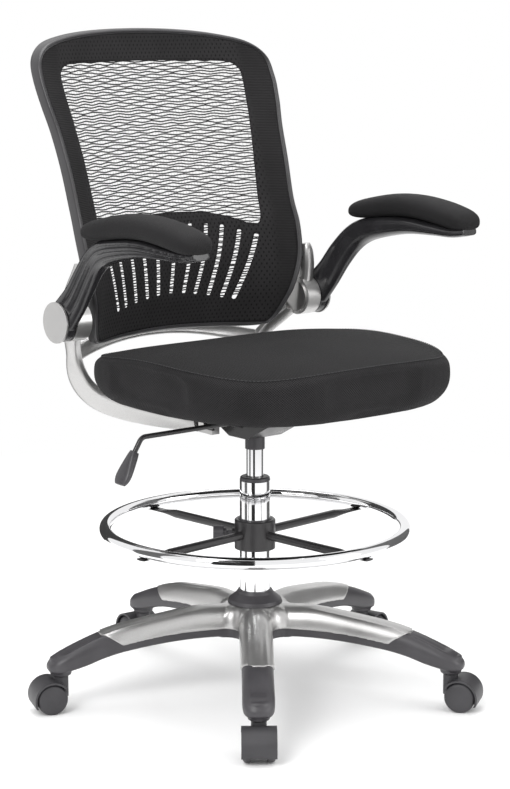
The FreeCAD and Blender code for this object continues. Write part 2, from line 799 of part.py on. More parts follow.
# Side bars and arms ---------------------------------------------------------------------
# Front and rear edges of the left side bar from its top end down to its foot under the seat
bar_front_edge = [(238, 141, 716), (243, 138, 672), (241, 150, 628), (225, 172, 596), (202, 204, 562),
                  (188, 215, 535), (172, 213, 508), (152, 198, 488), (126, 168, 474), (98, 132, 464),
                  (72, 96, 457), (50, 50, 452)]
bar_rear_edge = [(237, 159, 714), (241, 180, 664), (237, 192, 618), (220, 212, 578), (200, 240, 544),
                 (186, 252, 512), (168, 250, 482), (148, 232, 460), (124, 200, 446), (98, 158, 438),
                 (72, 112, 434), (50, 50, 430)]
bar_bolt_radius = 4.0
bar_bolt_y = 58.0
bar_bolt_z = 448.0
bar_lug_x = 228.2
bar_lug_y = 152.0
bar_lug_z = 698.0
lug_dowel_inner_x = 217.0
lug_dowel_outer_x = 242.0


def make_side_bar():
    """The left J-shaped bar with the boss that carries the arm."""
    wires = []
    last = len(bar_front_edge) - 1
    for number, (front, rear) in enumerate(zip(bar_front_edge, bar_rear_edge)):
        front_point = V(*front)
        rear_point = V(*rear)
        before = V(*bar_front_edge[max(number - 1, 0)]) + V(*bar_rear_edge[max(number - 1, 0)])
        after = V(*bar_front_edge[min(number + 1, last)]) + V(*bar_rear_edge[min(number + 1, last)])
        half_breadth = (rear_point - front_point) * 0.5
        flat = (after - before).cross(half_breadth).normalize()
        share = number / last
        thickness = bar_thickness + (bar_end_thickness - bar_thickness) * share
        if number == 0:
            thickness = bar_thickness * 0.5
        wires.append(oval((front_point + rear_point) * 0.5, half_breadth, flat * (thickness / 2), 3.6))
    bar = lofted(wires)
    foot = block(bar_foot_x - bar_end_thickness / 2, bracket_inner_x, 40, bracket_rear_y - 4, 432, 462)
    boss = rod_x(boss_radius, boss_inner_x, boss_outer_x, hub_y, hub_z)
    body = bar.fuse(boss).fuse(foot)
    body = body.cut(rod_x(pin_radius, boss_inner_x - 30, boss_outer_x + 20, hub_y, hub_z))
    body = body.cut(rod_x(boss_radius - 6, boss_inner_x - 30, boss_inner_x, hub_y, hub_z))
    body = body.cut(block(bracket_inner_x, 90, 20, bracket_rear_y, 420, 500))
    body = body.cut(rod_x(bar_bolt_radius, 20, 90, bar_bolt_y, bar_bolt_z))
    return body.cut(rod_x(bar_bolt_radius, lug_dowel_inner_x, lug_dowel_outer_x, bar_lug_y, bar_lug_z))


def make_bar_bolts():
    """The bolts through the bars' feet, and the dowels between their top ends and the rim's lugs."""
    bolts = []
    for side in (-1, 1):
        inner = side * (bar_foot_x - bar_end_thickness / 2)
        outer = side * (bar_foot_x + bar_end_thickness / 2 + 5)
        shank = rod_x(bar_bolt_radius, inner, outer, bar_bolt_y, bar_bolt_z)
        head = rod_x(7, outer, outer + side * 5, bar_bolt_y, bar_bolt_z)
        bolts.append(shank.fuse(head).removeSplitter())
        dowel_ends = (side * lug_dowel_inner_x, side * lug_dowel_outer_x)
        bolts.append(rod_x(bar_bolt_radius, *dowel_ends, bar_lug_y, bar_lug_z))
    return Part.makeCompound(bolts)


def make_back_brace(bars):
    """An arched cross brace between the bars, behind the foot of the back."""
    route = [(-196, 232, 548), (-150, 257, 558), (-90, 268, 570), (0, 272, 577), (90, 268, 570), (150, 257, 558),
             (196, 232, 548)]
    wires = []
    for number, place in enumerate(route):
        before = V(*route[max(number - 1, 0)])
        after = V(*route[min(number + 1, len(route) - 1)])
        along = (after - before).normalize()
        up = V(0, 0.3, 0.954)
        thick = along.cross(up).normalize()
        wires.append(oval(V(*place), up * 13, thick * 4, 3.0))
    brace = lofted(wires)
    for bar in bars:
        brace = brace.cut(bar)
    return sorted(brace.Solids, key=lambda solid: solid.Volume)[-1]


def make_arm_pins():
    pins = []
    for side in (-1, 1):
        shaft = rod_x(pin_radius, side * boss_inner_x, side * (arm_hub_outer_x - 3), hub_y, hub_z)
        head = rod_x(boss_radius - 6, side * (boss_inner_x - 3), side * boss_inner_x, hub_y, hub_z)
        pins.append(shaft.fuse(head).removeSplitter())
    return Part.makeCompound(pins)


# Centre line of the left arm from the hub to the front of the pad: x, y, z, half width, half depth
arm_stations = [(267, 150, 634, 8.5, 30), (267, 120, 664, 9.0, 27), (268, 92, 698, 10.5, 25),
                (271, 62, 728, 13, 22.5), (273, 30, 745, 18, 20), (275, -20, 755, 23, 17),
                (276, -80, 761, 26, 14), (276, -140, 759, 26, 10), (276, -180, 757, 23, 8),
                (276, -208, 760, 16, 6)]


def make_arm_frame():
    """The left arm moulding: a hub disc, a rising flank and a cradle under the pad."""
    wires = []
    last = len(arm_stations) - 1
    for number, (x, y, z, half_width, half_depth) in enumerate(arm_stations):
        before = arm_stations[max(number - 1, 0)]
        after = arm_stations[min(number + 1, last)]
        along = V(0, after[1] - before[1], after[2] - before[2]).normalize()
        deep = V(1, 0, 0).cross(along)
        wires.append(oval(V(x, y, z), V(half_width, 0, 0), deep * half_depth, 3.2))
    arm = lofted(wires)
    hub = rod_x(arm_hub_radius, boss_outer_x + face_clearance, arm_hub_outer_x, hub_y, hub_z)
    bore = rod_x(pin_radius + running_clearance, 200, arm_hub_outer_x - 2, hub_y, hub_z)
    body = arm.fuse(hub).cut(bore).cut(make_arm_pad())
    body = body.cut(block(200, boss_outer_x + face_clearance, 100, 240, 560, 690)).cut(make_arm_cap())
    return sorted(body.Solids, key=lambda solid: solid.Volume)[-1]


# Sections of the pad from its rear end to its front: y, middle z, half height, share of the half width
pad_stations = [(70, 770, 6.5, 0.42), (56, 774, 13, 0.78), (22, 782, 17, 0.97), (-38, 791.5, 19, 1.0),
                (-92, 792.5, 19, 1.0), (-142, 786.5, 19, 1.0), (-182, 778.5, 17, 0.95), (-208, 773, 12, 0.8),
                (-221, 769.5, 6, 0.45)]


def make_arm_pad():
    """The left pad: a crescent, thick in the middle, with a drooping front."""
    wires = []
    for y, z, half, width in pad_stations:
        wires.append(oval(V(pad_centre_x, y, z), V(pad_half_width * width, 0, 0), V(0, 0, half), 2.6))
    return lofted(wires)


def make_arm_cap():
    return rod_x(cap_radius, arm_hub_outer_x, arm_hub_outer_x + cap_thickness, hub_y, hub_z)


# Build ----------------------------------------------------------------------------------
def build_base():
    save("base_star", make_base_star())
    save("base_cover", make_base_cover())
    save("base_collar", make_base_collar())
    save("column_tube", make_column_tube())
    save("column_collar", make_column_collar())
    save("guide_bush", make_guide_bush())
    save("column_clip", make_column_clip())


def build_casters():
    hood = make_hood()
    pins = make_caster_pins()
    wheels = {"a": make_wheel(-1), "b": make_wheel(1)}
    for number in range(leg_count):
        label = str(number + 1)
        save("caster_hood_" + label, caster_place(hood, number))
        save("caster_pins_" + label, caster_place(pins, number))
        for name, wheel in wheels.items():
            save("caster_wheel_" + label + name, caster_place(wheel, number))


def build_lift():
    save("piston_rod", make_piston_rod())
    save("thrust_bearing", make_thrust_bearing())
    save("gas_cylinder", make_gas_cylinder())
    save("gas_button", make_gas_button())
    save("cylinder_sleeve", make_cylinder_sleeve())
    save("tilt_housing", make_tilt_housing())
    save("tilt_spring", make_tilt_spring())
    save("lever_rocker", make_lever_rocker())
    save("lever_rod", make_lever_rod())
    save("lever_paddle", make_lever_paddle())


def build_footring():
    save("footring_bush", make_footring_bush())
    save("footring_hub", make_footring_hub())
    save("footring_tube", make_footring_tube())
    save("footring_spokes", make_footring_spokes())
    save("clamp_knob", make_clamp_knob())


def build_seat():
    save("seat_plate", make_seat_plate())
    save("tilt_pin", make_tilt_pin())
    save("seat_screws", make_seat_screws())
    save("seat_pan", make_seat_pan())
    save("seat_cushion", make_seat_cushion())


def build_back():
    bar = make_side_bar()
    bars = [bar, mirrored(bar)]
    save("side_bar_left", bars[0])
    save("side_bar_right", bars[1])
    save("bar_bolts", make_bar_bolts())
    save("back_brace", make_back_brace(bars))
    save("back_frame", make_back_frame())
    save("back_mesh", make_back_mesh())
    save("arm_pins", make_arm_pins())


def build_arms():
    pieces = {"arm_frame": make_arm_frame(), "arm_pad": make_arm_pad(), "arm_cap": make_arm_cap()}
    for node, piece in pieces.items():
        save(node + "_left", piece)
        save(node + "_right", mirrored(piece))


build_base()
build_casters()
build_lift()
build_footring()
build_seat()
build_back()
build_arms()
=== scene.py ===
import math

import bpy
import numpy as np
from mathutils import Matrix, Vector, geometry


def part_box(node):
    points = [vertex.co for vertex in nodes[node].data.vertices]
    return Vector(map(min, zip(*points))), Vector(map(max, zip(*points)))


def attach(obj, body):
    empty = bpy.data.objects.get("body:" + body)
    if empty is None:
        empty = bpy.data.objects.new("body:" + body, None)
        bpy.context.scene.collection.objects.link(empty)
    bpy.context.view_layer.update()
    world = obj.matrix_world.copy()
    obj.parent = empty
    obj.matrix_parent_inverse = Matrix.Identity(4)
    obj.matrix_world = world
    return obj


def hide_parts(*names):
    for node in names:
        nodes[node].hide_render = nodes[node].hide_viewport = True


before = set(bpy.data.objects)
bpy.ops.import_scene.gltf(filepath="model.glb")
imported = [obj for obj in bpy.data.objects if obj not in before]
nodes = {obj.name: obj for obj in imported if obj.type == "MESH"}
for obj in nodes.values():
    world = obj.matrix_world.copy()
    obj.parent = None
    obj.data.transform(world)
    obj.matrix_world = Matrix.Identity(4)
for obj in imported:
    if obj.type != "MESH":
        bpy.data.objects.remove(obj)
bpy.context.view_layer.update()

# ---- Star base ---------------------------------------------------------------------------
# Five legs round a hub, moulded in one piece of black glass-filled nylon. Each leg droops to
# a bulbous tip with a recessed panel on its back and a round socket under it for the caster.


def through(rows, count):
    """count rows along the Catmull-Rom curve through the given rows, evenly spaced from row to
    row: the slope at a row is half the step between its two neighbours."""
    rows = np.asarray(rows, float)
    ends = np.vstack([2 * rows[0] - rows[1], rows, 2 * rows[-1] - rows[-2]])
    place = np.linspace(0, len(rows) - 1, count)
    span = np.minimum(place.astype(int), len(rows) - 2)
    t = (place - span)[:, None]
    a, b, c, d = (ends[span + k] for k in range(4))
    return b + t * (c - a) / 2 + t**2 * (a - 2.5 * b + 2 * c - d / 2) + t**3 * (3 * (b - c) + d - a) / 2


def power(value, exponent):
    """value raised to exponent in size, with its sign kept."""
    return np.sign(value) * np.abs(value) ** exponent


def step(low, high, value):
    """0 below low and 1 above high, with the smooth cubic 3t^2 - 2t^3 between them."""
    t = np.clip((value - low) / (high - low), 0, 1)
    return t * t * (3 - 2 * t)


def make_piece(name, points, faces, smooth_angle=35):
    """A mesh object of the points and faces, turned so that its faces point outwards, shaded
    smooth but for edges sharper than smooth_angle."""
    points = np.asarray(points, float)
    volume = sum(
        np.einsum("ij,ij->i", points[f[:, 0]], np.cross(points[f[:, k]], points[f[:, k + 1]])).sum()
        for f in faces
        for k in range(1, f.shape[1] - 1)
    )
    loops = [(f if volume > 0 else f[:, ::-1]) for f in faces]
    mesh = bpy.data.meshes.new(name)
    mesh.from_pydata(points.tolist(), [], [tuple(row) for f in loops for row in f.tolist()])
    mesh.polygons.foreach_set("use_smooth", np.ones(len(mesh.polygons), bool))
    mesh.set_sharp_from_angle(angle=math.radians(smooth_angle))
    piece = bpy.data.objects.new(name, mesh)
    bpy.context.scene.collection.objects.link(piece)
    return piece


def tube_faces(rows, columns, start=0, ends=True, ring=False):
    """Quads between each row of points and the next, each row closed on itself. ends closes
    the first and last rows with fans about their first point; ring joins the last row to the
    first instead."""
    i = np.arange(rows if ring else rows - 1)[:, None]
    j = np.arange(columns)[None, :]
    k, m = (i + 1) % rows, (j + 1) % columns
    quads = np.stack([i * columns + j + 0 * k, i * columns + m, k * columns + m, k * columns + j], -1)
    faces = [quads.reshape(-1, 4) + start]
    if ends and not ring:
        c = np.arange(1, columns - 1)
        last = (rows - 1) * columns
        faces.append(np.stack([0 * c, c + 1, c], -1) + start)
        faces.append(np.stack([last + 0 * c, last + c, last + c + 1], -1) + start)
    return faces


def several(parts):
    """Points and faces of several closed surfaces, each given as points on a grid of closed
    rows, put into one list."""
    points, faces, start = [], [], 0
    for part in parts:
        points.append(part.reshape(-1, 3))
        faces += tube_faces(part.shape[0], part.shape[1], start)
        start += part.shape[0] * part.shape[1]
    return np.concatenate(points), faces


def melt(piece, voxel, smoothing):
    """Joins a piece's overlapping shells into one skin of faces about a voxel wide, and evens
    the skin by that many smoothing steps, so that inner corners become fillets."""
    remesh = piece.modifiers.new("one_skin", "REMESH")
    remesh.mode, remesh.voxel_size, remesh.use_smooth_shade = "VOXEL", voxel, True
    even = piece.modifiers.new("fillets", "SMOOTH")
    even.factor, even.iterations = 0.5, smoothing
    bpy.context.view_layer.update()
    graph = bpy.context.evaluated_depsgraph_get()
    skin = bpy.data.meshes.new_from_object(piece.evaluated_get(graph))
    piece.modifiers.clear()
    piece.data = skin
    skin.set_sharp_from_angle(angle=math.radians(50))
    return piece


leg_azimuths = np.radians(-39 + 72 * np.arange(5))
leg_half_width = 0.0255
# reach from the column, underside, split line, top, and how wide the leg is for its width
leg_rows = through(
    [
        (0.000, 0.100, 0.117, 0.1495, 1.04),
        (0.060, 0.102, 0.117, 0.1510, 1.04),
        (0.110, 0.103, 0.117, 0.1525, 1.02),
        (0.166, 0.100, 0.114, 0.1455, 1.00),
        (0.225, 0.093, 0.106, 0.1360, 1.00),
        (0.262, 0.085, 0.098, 0.1265, 1.00),
        (0.292, 0.075, 0.092, 0.1150, 1.00),
        (0.322, 0.068, 0.085, 0.1010, 1.00),
        (0.338, 0.066, 0.079, 0.0925, 0.90),
        (0.348, 0.067, 0.075, 0.0840, 0.62),
        (0.352, 0.070, 0.075, 0.0790, 0.30),
    ],
    160,
)
channel_half_width, channel_depth = 0.0125, 0.0032


def leg_at(reach, around, grow, flat_bottom=False):
    """Points of a leg that runs along -Y. Above the split line the section is an arch of power
    2.3, with a channel sunk along its crown; below it is a box of power 6, or nothing where
    flat_bottom is set. grow moves the skin out by that much."""
    foot, split, top, wide = (
        np.interp(reach, leg_rows[:, 0], leg_rows[:, k]) for k in range(1, 5)
    )
    across, up = np.cos(around), np.sin(around)
    shape = np.where(up > 0, 2 / 2.3, 2 / 6)
    y = (leg_half_width * wide + grow) * power(across, shape)
    upper = (top - split + grow) * power(np.maximum(up, 0), shape)
    lower = 0 * upper if flat_bottom else (split - foot) * power(np.minimum(up, 0), shape)
    sunk = step(0.075, 0.14, reach) * step(0.333, 0.318, reach)
    floor = step(channel_half_width + 0.0035, channel_half_width - 0.0035, np.abs(y))
    z = split + upper + lower - channel_depth * sunk * floor * (up > 0)
    return np.stack([y, -reach, z], -1)


def star(parts_of_leg, hub):
    """The hub and five copies of a leg's closed surfaces, turned about the column."""
    parts = list(hub)
    for azimuth in leg_azimuths:
        c, s = math.cos(azimuth), math.sin(azimuth)
        turn = np.array([[c, s, 0], [-s, c, 0], [0, 0, 1]])
        parts += [part @ turn for part in parts_of_leg]
    return several(parts)


def hub_surface(grow, flat_bottom):
    """The hub between the legs. Its outline is the leg's side near a leg, and between two legs
    a fillet arc of radius 24 mm that touches both; its crown is the same arch as a leg's."""
    fillet = 0.024
    half = leg_half_width + grow
    away = (half + fillet) / math.sin(math.radians(36))
    around = np.linspace(0, 2 * math.pi, 240, endpoint=False)
    off = (around - leg_azimuths[0] + math.pi / 5) % (2 * math.pi / 5) - math.pi / 5
    bisector = math.radians(36) - np.abs(off)
    on_arc = np.abs(bisector) < math.radians(36) - math.atan2(half, half + fillet) * 0.55
    arc = away * np.cos(bisector) - np.sqrt(
        np.maximum(fillet**2 - (away * np.sin(bisector)) ** 2, 0)
    )
    side = half / np.maximum(np.sin(np.abs(off)), 0.3)
    outline = np.minimum(np.where(on_arc & (away * np.sin(bisector) < fillet), arc, side), 0.07)
    foot, split, top = (np.interp(0.05, leg_rows[:, 0], leg_rows[:, k]) for k in (1, 2, 3))
    up = np.linspace(0, math.pi / 2, 14)
    in_by = half * (1 - power(np.cos(up), 2 / 2.3))
    rise = split + (top - split + grow) * power(np.sin(up), 2 / 2.3)
    rows = [(0.045, split if flat_bottom else foot)]
    rows += [(0.0, split if flat_bottom else foot)]
    rows += list(zip(in_by, rise)) + [(0.045, top + grow)]
    direction = np.stack([np.sin(around), -np.cos(around)], -1)
    surface = [
        np.concatenate(
            [direction * (outline - inset)[:, None], np.full((len(around), 1), height)], 1
        )
        for inset, height in rows
    ]
    return np.array(surface)


around = np.linspace(0, 2 * math.pi, 72, endpoint=False)
reaches = through([(0.0,), (0.1,), (0.2,), (0.3,), (0.352,)], 150)[:, :1]
core_leg = leg_at(reaches + 0 * around, around[None, :], -0.0006)
socket_height = np.array([0.0600, 0.0602, 0.0640, 0.0645, 0.0900])
socket_radius = np.array([0.0150, 0.0170, 0.0170, 0.0178, 0.0178])
socket = np.stack(
    [
        socket_radius[:, None] * np.cos(around),
        -0.330 + socket_radius[:, None] * np.sin(around),
        socket_height[:, None] + 0 * around,
    ],
    -1,
)
base_core = make_piece("star_core", *star([core_leg, socket], [hub_surface(-0.0006, False)]))
melt(base_core, 0.0021, 3)


def finish_material(name, colour, roughness, metallic=0.0):
    """A Principled material, with the helpers that its pattern is built from."""
    material = bpy.data.materials.new(name)
    material.use_nodes = True
    shader = material.node_tree.nodes["Principled BSDF"]
    shader.inputs["Base Color"].default_value = (*colour, 1)
    shader.inputs["Roughness"].default_value = roughness
    shader.inputs["Metallic"].default_value = metallic
    return material


def node(material, kind, inputs=(), **settings):
    """Adds a shader node. inputs pairs a socket's name or number with a value or with another
    node's output."""
    made = material.node_tree.nodes.new(kind)
    for key, value in settings.items():
        setattr(made, key, value)
    for socket, value in inputs:
        if isinstance(value, bpy.types.NodeSocket):
            material.node_tree.links.new(value, made.inputs[socket])
        else:
            made.inputs[socket].default_value = value
    return made


def into(material, socket, value):
    """Links value into one of the Principled shader's sockets."""
    shader = material.node_tree.nodes["Principled BSDF"]
    material.node_tree.links.new(value, shader.inputs[socket])


def place(material):
    """The surface's place on the object, in metres."""
    return node(material, "ShaderNodeTexCoord").outputs["Object"]


def noise(material, size, detail=2.0, coordinates=None):
    """Soft noise whose blobs are about size across, in metres."""
    where = coordinates or place(material)
    return node(
        material,
        "ShaderNodeTexNoise",
        [("Vector", where), ("Scale", 1 / size), ("Detail", detail)],
    ).outputs["Fac"]


def between(material, value, low, high, made_low, made_high):
    """value taken from the span low to high and put in the span made_low to made_high."""
    return node(
        material,
        "ShaderNodeMapRange",
        [("Value", value), (1, low), (2, high), (3, made_low), (4, made_high)],
    ).outputs[0]


def two_tone(material, value, dark, light):
    """A colour from dark, where value is 0, to light, where it is 1."""
    return node(
        material,
        "ShaderNodeMix",
        [(0, value), (6, (*dark, 1)), (7, (*light, 1))],
        data_type="RGBA",
    ).outputs[2]


def raised(material, value, height, strength=1.0, edge=0.0):
    """Bumps of that height in metres. edge rounds the piece's edges to the eye by that radius."""
    inputs = [("Height", value), ("Distance", height), ("Strength", strength)]
    if edge:
        round_edge = node(material, "ShaderNodeBevel", [("Radius", edge)], samples=4)
        inputs.append(("Normal", round_edge.outputs[0]))
    into(material, "Normal", node(material, "ShaderNodeBump", inputs).outputs[0])


def moulded_nylon(name, colour, gloss, edge=0.0006):
    """Spark-textured black moulding: a fine pebble grain, slightly uneven gloss, and a paler
    bloom where hands and shoes rub it."""
    material = finish_material(name, colour, gloss)
    rubbed = noise(material, 0.05, 3)
    into(material, "Roughness", between(material, rubbed, 0.3, 0.7, gloss - 0.05, gloss + 0.07))
    pale = tuple(c * 1.35 + 0.002 for c in colour)
    into(material, "Base Color", two_tone(material, between(material, rubbed, 0.4, 0.75, 0, 1), colour, pale))
    raised(material, noise(material, 0.0007, 1), 0.00004, 0.5, edge)
    return material


def finished(piece, material):
    """Gives the piece that one material."""
    piece.data.materials.clear()
    piece.data.materials.append(material)
    return piece


def cad_finish(names, material):
    """Puts the material on CAD nodes, whose shapes stay as they are."""
    for name in names:
        for place_of in nodes[name].material_slots:
            place_of.material = material


black_nylon = moulded_nylon("black_nylon", (0.040, 0.038, 0.042), 0.42)
finished(base_core, black_nylon)
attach(base_core, "base")
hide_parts("base_star")
cad_finish(["base_collar"], black_nylon)

# ---- Silver shell over the base ----------------------------------------------------------
# A painted shell that snaps over the hub and the inner two thirds of each leg. It ends in a
# slanted cut, further out along the crown than at the split line.

cut_at_split, cut_at_crown = 0.232, 0.268
shell_grow = 0.0012


def shell_leg():
    """A leg's upper half, closed flat along the split line. Every row of points reaches from
    the hub to the slanted cut, so the last row is the cut."""
    over = np.linspace(0, math.pi, 60)
    share = np.linspace(0, 1, 110)[:, None]
    end = cut_at_split + (cut_at_crown - cut_at_split) * np.sin(over)
    crown = leg_at(share * end, over[None, :], shell_grow, flat_bottom=True)
    across = np.linspace(-1, 1, 14)[1:-1]
    flat_reach = share * cut_at_split
    _, split, _, wide = (
        np.interp(flat_reach[:, 0], leg_rows[:, 0], leg_rows[:, k]) for k in range(1, 5)
    )
    half = (leg_half_width * wide + shell_grow)[:, None]
    floor = np.stack([across * half, -flat_reach + 0 * across, split[:, None] + 0 * across], -1)
    return np.concatenate([crown, floor], 1)


base_shell = make_piece("base_shell", *star([shell_leg()], [hub_surface(shell_grow, True)]))
melt(base_shell, 0.0019, 3)


def silver_paint(name):
    """Satin silver paint on a moulding: fine bright flakes in a soft base, slightly mottled."""
    material = finish_material(name, (0.50, 0.495, 0.49), 0.36, 0.85)
    flakes = noise(material, 0.0005, 1)
    tone = between(material, flakes, 0.3, 0.7, 0, 1)
    into(material, "Base Color", two_tone(material, tone, (0.43, 0.425, 0.42), (0.60, 0.595, 0.59)))
    into(material, "Roughness", between(material, noise(material, 0.03, 3), 0.3, 0.7, 0.29, 0.38))
    raised(material, flakes, 0.00002, 0.25, 0.0005)
    material.node_tree.nodes["Principled BSDF"].inputs["Coat Weight"].default_value = 0.25
    material.node_tree.nodes["Principled BSDF"].inputs["Coat Roughness"].default_value = 0.2
    return material


satin_silver = silver_paint("satin_silver")
finished(base_shell, satin_silver)
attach(base_shell, "base")
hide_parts("base_cover")

# ---- Casters -----------------------------------------------------------------------------
# Five hooded twin-wheel casters in black nylon, each on a steel stem pressed into its leg.

caster_nylon = moulded_nylon("caster_nylon", (0.030, 0.029, 0.032), 0.46)
bright_steel = finish_material("bright_steel", (0.62, 0.61, 0.60), 0.28, 1.0)
for caster in range(1, 6):
    cad_finish([f"caster_hood_{caster}"], caster_nylon)
    cad_finish([f"caster_wheel_{caster}{side}" for side in "ab"], caster_nylon)
    cad_finish([f"caster_pins_{caster}"], bright_steel)

# ---- Column ------------------------------------------------------------------------------
# A chromed steel tube wedged in the hub, a guide bush with a black cap, and the chromed gas
# cylinder that slides in it, with a black sleeve where it enters the seat's mechanism.


def chrome_plate(name):
    """Polished chrome, with very faint wiping marks."""
    material = finish_material(name, (0.86, 0.86, 0.87), 0.05, 1.0)
    into(material, "Roughness", between(material, noise(material, 0.02, 4), 0.35, 0.75, 0.03, 0.09))
    return material


polished_chrome = chrome_plate("polished_chrome")
black_steel = moulded_nylon("black_steel", (0.018, 0.017, 0.018), 0.30)
cad_finish(["column_tube", "column_collar", "gas_cylinder"], polished_chrome)
cad_finish(["guide_bush", "cylinder_sleeve"], black_nylon)
cad_finish(["column_clip", "thrust_bearing", "piston_rod", "gas_button"], bright_steel)

# ---- Foot ring ---------------------------------------------------------------------------
# A chromed steel hoop riveted on the flattened ends of four black tubular spokes, welded to
# a hub that slides and turns on the column and is held by a clamp knob.

ring_low, ring_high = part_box("footring_tube")
hoop_tube_radius = (ring_high.z - ring_low.z) / 2
hoop_radius = (ring_high.x - ring_low.x) / 2 - hoop_tube_radius
hoop_level = (ring_high.z + ring_low.z) / 2
turn = np.linspace(0, 2 * math.pi, 288, endpoint=False)[:, None]
section = np.linspace(0, 2 * math.pi, 28, endpoint=False)[None, :]
hoop_reach = hoop_radius + hoop_tube_radius * np.cos(section)
hoop_points = np.stack(
    [hoop_reach * np.cos(turn), hoop_reach * np.sin(turn), hoop_level + hoop_tube_radius * np.sin(section) + 0 * turn],
    -1,
)
hoop = make_piece("chrome_hoop", hoop_points.reshape(-1, 3), tube_faces(288, 28, ring=True))
finished(hoop, polished_chrome)
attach(hoop, "footring")
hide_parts("footring_tube")
cad_finish(["footring_hub", "footring_spokes"], black_steel)
cad_finish(["footring_bush"], black_nylon)
cad_finish(["clamp_knob"], black_nylon)

# ---- Mechanism and height lever ----------------------------------------------------------
# Pressed and painted steel under the seat, with the lever that opens the gas valve.

cad_finish(
    ["tilt_housing", "seat_plate", "lever_rocker", "lever_rod", "tilt_pin", "seat_screws"],
    black_steel,
)
cad_finish(["tilt_spring"], bright_steel)
cad_finish(["lever_paddle"], black_nylon)

# ---- Seat --------------------------------------------------------------------------------
# A foam cushion in a black cover: a ribbed top panel sewn to a deep side band of spacer mesh,
# drawn over a plywood pan whose underside is closed with black lining cloth.

cushion_low, cushion_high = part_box("seat_cushion")
seat_middle = (cushion_low + cushion_high) / 2
seat_half = (cushion_high - cushion_low) / 2
seat_height = 2 * seat_half.z
seam_level, seam_share = 0.82, 0.955
# share of the cushion's height and of its half width, from the seam down to the pan
band_rows = through(
    [(0.82, 0.955), (0.72, 0.985), (0.60, 0.998), (0.34, 1.0), (0.13, 0.982), (-0.02, 0.945), (-0.11, 0.90), (-0.147, 0.83)], 19
)


def rounded_square(cells):
    """Points of a square grid pressed into a superellipse of power 3: a grid point (a, b) moves
    to (a, b) times max(|a|, |b|) / (|a|^3 + |b|^3)^(1/3), so each square ring becomes a smaller
    copy of the outline. The rim's numbers in order round the outline come with it."""
    line = np.linspace(-1, 1, cells + 1)
    a, b = np.meshgrid(line, line, indexing="ij")
    ring = np.maximum(np.abs(a), np.abs(b))
    size = np.maximum((np.abs(a) ** 3 + np.abs(b) ** 3) ** (1 / 3), 1e-9)
    number = np.arange((cells + 1) ** 2).reshape(cells + 1, cells + 1)
    rim = np.concatenate([number[:-1, 0], number[-1, :-1], number[:0:-1, -1], number[0, :0:-1]])
    flat = np.stack([a * ring / size, b * ring / size], -1).reshape(-1, 2)
    return flat, ring.reshape(-1), number, rim


def cushion_mesh(cells):
    """The closed cushion: a crowned top sheet, a band of rings from the seam to the pan, and a
    flat underside. The top rises from the seam as 1 - ring^3.6."""
    flat, ring, number, rim = rounded_square(cells)
    top_height = seam_level + (1 - seam_level) * (1 - ring**3.6)
    top = np.column_stack([flat * seam_share, top_height])
    band = [np.column_stack([flat[rim] * share, np.full(len(rim), level)]) for level, share in band_rows[1:]]
    under = np.column_stack([flat * band_rows[-1, 1], 0 * ring + band_rows[-1, 0] + 0.014 * (ring < 0.99)])
    rows = [rim] + [len(top) + k * len(rim) + np.arange(len(rim)) for k in range(len(band) - 1)]
    under_start = len(top) + (len(band) - 1) * len(rim)
    rows.append(under_start + rim)
    points = np.concatenate([top] + band[:-1] + [under])
    rows = np.array(rows)
    after = np.roll(rows, -1, 1)
    side_faces = np.stack([rows[:-1], after[:-1], after[1:], rows[1:]], -1).reshape(-1, 4)
    sheet_faces = np.stack([number[:-1, :-1], number[1:, :-1], number[1:, 1:], number[:-1, 1:]], -1).reshape(-1, 4)
    half = np.array([seat_half.x, seat_half.y, seat_height])
    base = np.array([seat_middle.x, seat_middle.y, cushion_low.z])
    faces = [sheet_faces[:, ::-1], side_faces[:, ::-1], sheet_faces + under_start]
    return dished(points) * half + base, faces, rows, ring


def dished(points):
    """Shapes the foam for a sitter. The heights, which run from 0 at the pan to 1 on top, gain
    this much at the top and nothing at the pan: lower at the rear, most of all in its middle,
    a little higher along each side, lower at the front corners and higher at the front's middle."""
    across, along, height = points[:, 0], points[:, 1], points[:, 2]
    rear = step(-0.1, 1.0, along)
    gain = -0.07 * rear - 0.15 * rear * (1 - np.minimum(across**2, 1))
    gain += 0.075 * across**4 * np.exp(-(((along - 0.15) / 0.45) ** 2))
    gain += 0.045 * np.exp(-((across / 0.5) ** 2)) * step(0.5, 1.0, -along)
    gain -= 0.07 * np.exp(-(((np.abs(across) - 0.8) / 0.3) ** 2)) * np.exp(-(((along + 0.8) / 0.3) ** 2))
    gain -= 0.05 * rear * step(1.0, 0.84, height)
    return np.column_stack([across, along, height + gain * step(0, 0.9, height)])


def lay_weave(piece, flat_sets):
    """Stores the cloth's own flat coordinates, in metres, corner by corner, as the UV map called
    weave. flat_sets gives them for each group of faces in the order they were built."""
    layer = piece.data.uv_layers.new(name="weave")
    layer.data.foreach_set("uv", np.concatenate([s.reshape(-1) for s in flat_sets]).astype(np.float32))


